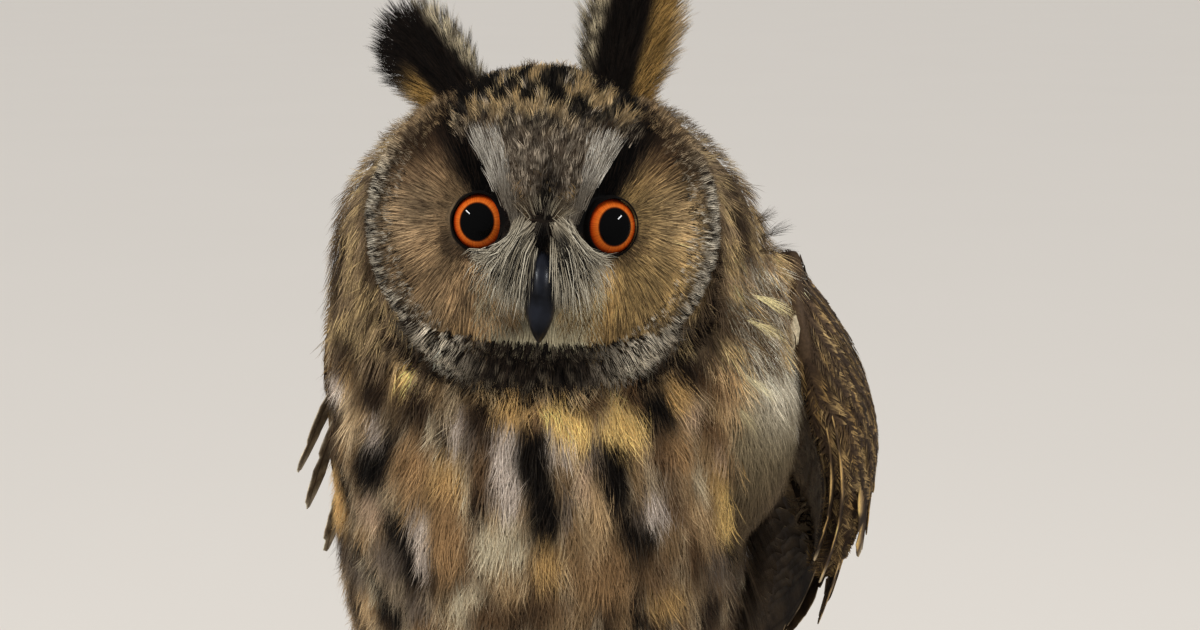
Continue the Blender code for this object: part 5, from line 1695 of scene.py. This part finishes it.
def lids(side):
    """Both lids as one dark rim round the eye, thick at its edge and thin where it meets the skin."""
    name = "left" if side > 0 else "right"
    turn = np.array(FACE_TURN @ Matrix.Rotation(side * EYE_TURNS[side], 3, "Z"))
    centre = on_face(side * EYE_ACROSS, 0.0, EYE_FORWARD)
    steps = 72
    profile = ((0.4, -0.3), (0.0, 0.1), (0.05, 0.35), (0.2, 0.55), (0.5, 0.45), (0.8, 0.0), (1.1, -0.9))
    rings = []
    for out, above in profile:
        for k in range(steps):
            angle = math.tau * k / steps
            rough = 0.12 * math.sin(9 * angle) * (out > 1)
            radius = IRIS_RADIUS + 0.1 + out + rough + 0.25 * max(0.0, math.sin(angle)) * (out < 0.6)
            lean = math.asin(min(radius / (EYE_RADIUS + 1.6), 1.0))
            hood = 0.7 * max(0.0, math.sin(angle)) ** 2 * (above > 0)
            forward = (EYE_RADIUS + above) * math.cos(lean) + hood
            level = radius * math.cos(angle) / (1 + 0.6 * (EYE_NARROW - 1))
            local = np.array((level, -forward, radius * math.sin(angle)))
            rings.append(centre + turn @ local)
    faces = loft_faces(len(profile), steps, caps=False)
    paint = np.tile(DEEP, (len(rings), 1))
    piece(f"lids_{name}", np.array(rings), faces, BARE, paint)


# Stations of the bill: up, forward, half width and half depth on the face
BILL_TOP = (
    (-7.0, 9.5, 4.4, 4.2), (-13.0, 13.6, 5.0, 5.0), (-19.0, 15.2, 4.4, 4.6), (-25.0, 15.0, 3.1, 3.5),
    (-28.6, 13.5, 1.7, 2.0), (-30.7, 12.2, 0.3, 0.4),
)
BILL_BASE = (
    (-15.0, 5.5, 3.9, 2.7), (-20.0, 9.4, 3.7, 2.6), (-24.6, 11.0, 2.6, 1.9), (-27.6, 11.2, 0.9, 0.6),
)


def bill(name, stations, sides, count, node_name):
    """A half of the bill as a smooth tapering solid with a ridge."""
    rows = spline(stations, count)
    points = []
    for i, (up, forward, half_width, half_depth) in enumerate(rows):
        step = rows[min(i + 1, count - 1)][:2] - rows[max(i - 1, 0)][:2]
        step = step / np.linalg.norm(step)
        for k in range(sides):
            angle = math.tau * k / sides
            keel = half_depth * math.sin(angle)
            width = half_width * math.cos(angle) * (1 - 0.3 * max(0.0, math.sin(angle)))
            points.append(on_face(width, up + keel * step[1], forward - keel * step[0]))
    piece(name, np.array(points), loft_faces(count, sides), BILL, nodes=(node_name,))


def claws():
    for side in (-1, 1):
        for toe_name, turn, length in TOES:
            angle = math.radians(turn)
            heading = np.array((side * math.sin(angle), -math.cos(angle), 0.0))
            across = np.array((-heading[1], heading[0], 0.0))
            start = np.array((side * LEG_ACROSS, FOOT_Y, 3.4)) + heading * (length - 1.4)
            points = []
            rings, sides = 16, 14
            for i in range(rings):
                share = i / (rings - 1)
                bend = math.radians(38.0 - 100.0 * share)
                middle = math.radians(38.0 - 50.0 * share)
                chord = heading * math.cos(middle) + np.array((0.0, 0.0, math.sin(middle)))
                normal = np.array((0.0, 0.0, math.cos(bend))) - heading * math.sin(bend)
                radius = 1.9 * (1 - share) ** 0.75 + 0.12
                for k in range(sides):
                    way = math.tau * k / sides
                    offset = across * math.cos(way) + normal * math.sin(way)
                    points.append(start + chord * CLAW_LENGTH * share + radius * offset)
            place = "left" if side > 0 else "right"
            label = f"{place}_{toe_name}"
            piece(f"talon_{label}", np.array(points), loft_faces(rings, sides), CLAW,
                  nodes=(f"claw_{label}",))


EYE = eye_material()
BILL = horn_material("bill_surface", (7, 7, 9), (30, 33, 42), 0.36, 0.25)
CLAW = horn_material("claw_surface", (16, 15, 15), (46, 42, 40), 0.28, 0.5)


# Stage, light and camera

def stage():
    floor = bpy.data.meshes.new("floor")
    work = bmesh.new()
    bmesh.ops.create_circle(work, cap_ends=True, segments=64, radius=60.0)
    work.to_mesh(floor)
    work.free()
    floor.materials.append(floor_material())
    made = bpy.data.objects.new("floor", floor)
    bpy.context.scene.collection.objects.link(made)
    made.visible_glossy = False


def light(name, kind, energy, place, target, **settings):
    lamp = bpy.data.lights.new(name, kind)
    lamp.energy = energy
    for key, value in settings.items():
        setattr(lamp, key, value)
    made = bpy.data.objects.new(name, lamp)
    made.location = place
    made.rotation_euler = (Vector(target) - Vector(place)).to_track_quat("-Z", "Y").to_euler()
    bpy.context.scene.collection.objects.link(made)
    return made


def photo_camera():
    """The photo's view, from a little above the face."""
    middle = Vector(to_world(FACE_FRONT))
    made = bpy.data.objects.new("camera", bpy.data.cameras.new("camera"))
    away = Vector((0.0, -math.cos(CAMERA_RISE), math.sin(CAMERA_RISE)))
    made.location = middle + away * CAMERA_DISTANCE
    made.rotation_euler = (middle - made.location).to_track_quat("-Z", "Y").to_euler()
    made.data.lens = LENS
    made.data.clip_start = 0.01
    made.data.shift_x = (PHOTO_MIDDLE[0] - FACE_PIXEL[0]) / PHOTO_WIDTH
    made.data.shift_y = (FACE_PIXEL[1] - PHOTO_MIDDLE[1]) / PHOTO_WIDTH
    bpy.context.scene.collection.objects.link(made)
    bpy.context.scene.camera = made


def lights():
    world = bpy.data.worlds.new("studio")
    world.use_nodes = True
    tree = world.node_tree
    tree.nodes["Background"].inputs[0].default_value = (0.95, 0.96, 1.0, 1.0)
    glossy = node(tree, "ShaderNodeLightPath").outputs["Is Glossy Ray"]
    tree.links.new(spread(tree, glossy, 0.0, 1.0, 0.56, 0.06), tree.nodes["Background"].inputs[1])
    bpy.context.scene.world = world
    face = to_world(FACE_FRONT)
    key = light("key", "SUN", 2.1, face + (-0.5, -0.9, 1.5), face, angle=math.radians(25),
                color=(1.0, 0.97, 0.93))
    key.visible_glossy = False
    # Two narrow lamps whose reflections are the streak of light in each pupil
    for side, label, way in ((1, "left", (0.826, -0.312, 0.47)), (-1, "right", (-0.76, -0.365, 0.539))):
        lamp = light(f"streak_{label}", "AREA", 0.9, face + 0.7 * np.array(way), face, shape="RECTANGLE",
                     size=0.035, size_y=0.24)
        lamp.rotation_euler.rotate_axis("Z", -side * math.radians(75))
    bpy.context.scene.view_settings.view_transform = "Standard"


stage()
photo_camera()
lights()
skin = grow_skin()
piece("skin", skin.points, skin.triangles, BARE, skin_paint(skin.points),
      unwrap_body(skin.points), FLESH)
clothe(skin)
for side in (-1, 1):
    eye(side)
    lids(side)
bill("bill_top", BILL_TOP, 32, 30, "bill_upper")
bill("bill_base", BILL_BASE, 28, 20, "bill_lower")
claws()
wing("wing_right", Sheet(RIGHT_WING_AXIS, (-0.6, 0.72, 0.3), 60.0, -1, 2.6), RUFFLED)
wing("wing_left", Sheet(LEFT_WING_AXIS, (1.0, 0.08, 0.12), 44.0, 1, 5.0))
tail()
ear_tuft("tuft_right", -1, TUFT_RIGHT, 8.4)
ear_tuft("tuft_left", 1, TUFT_LEFT, 9.6)
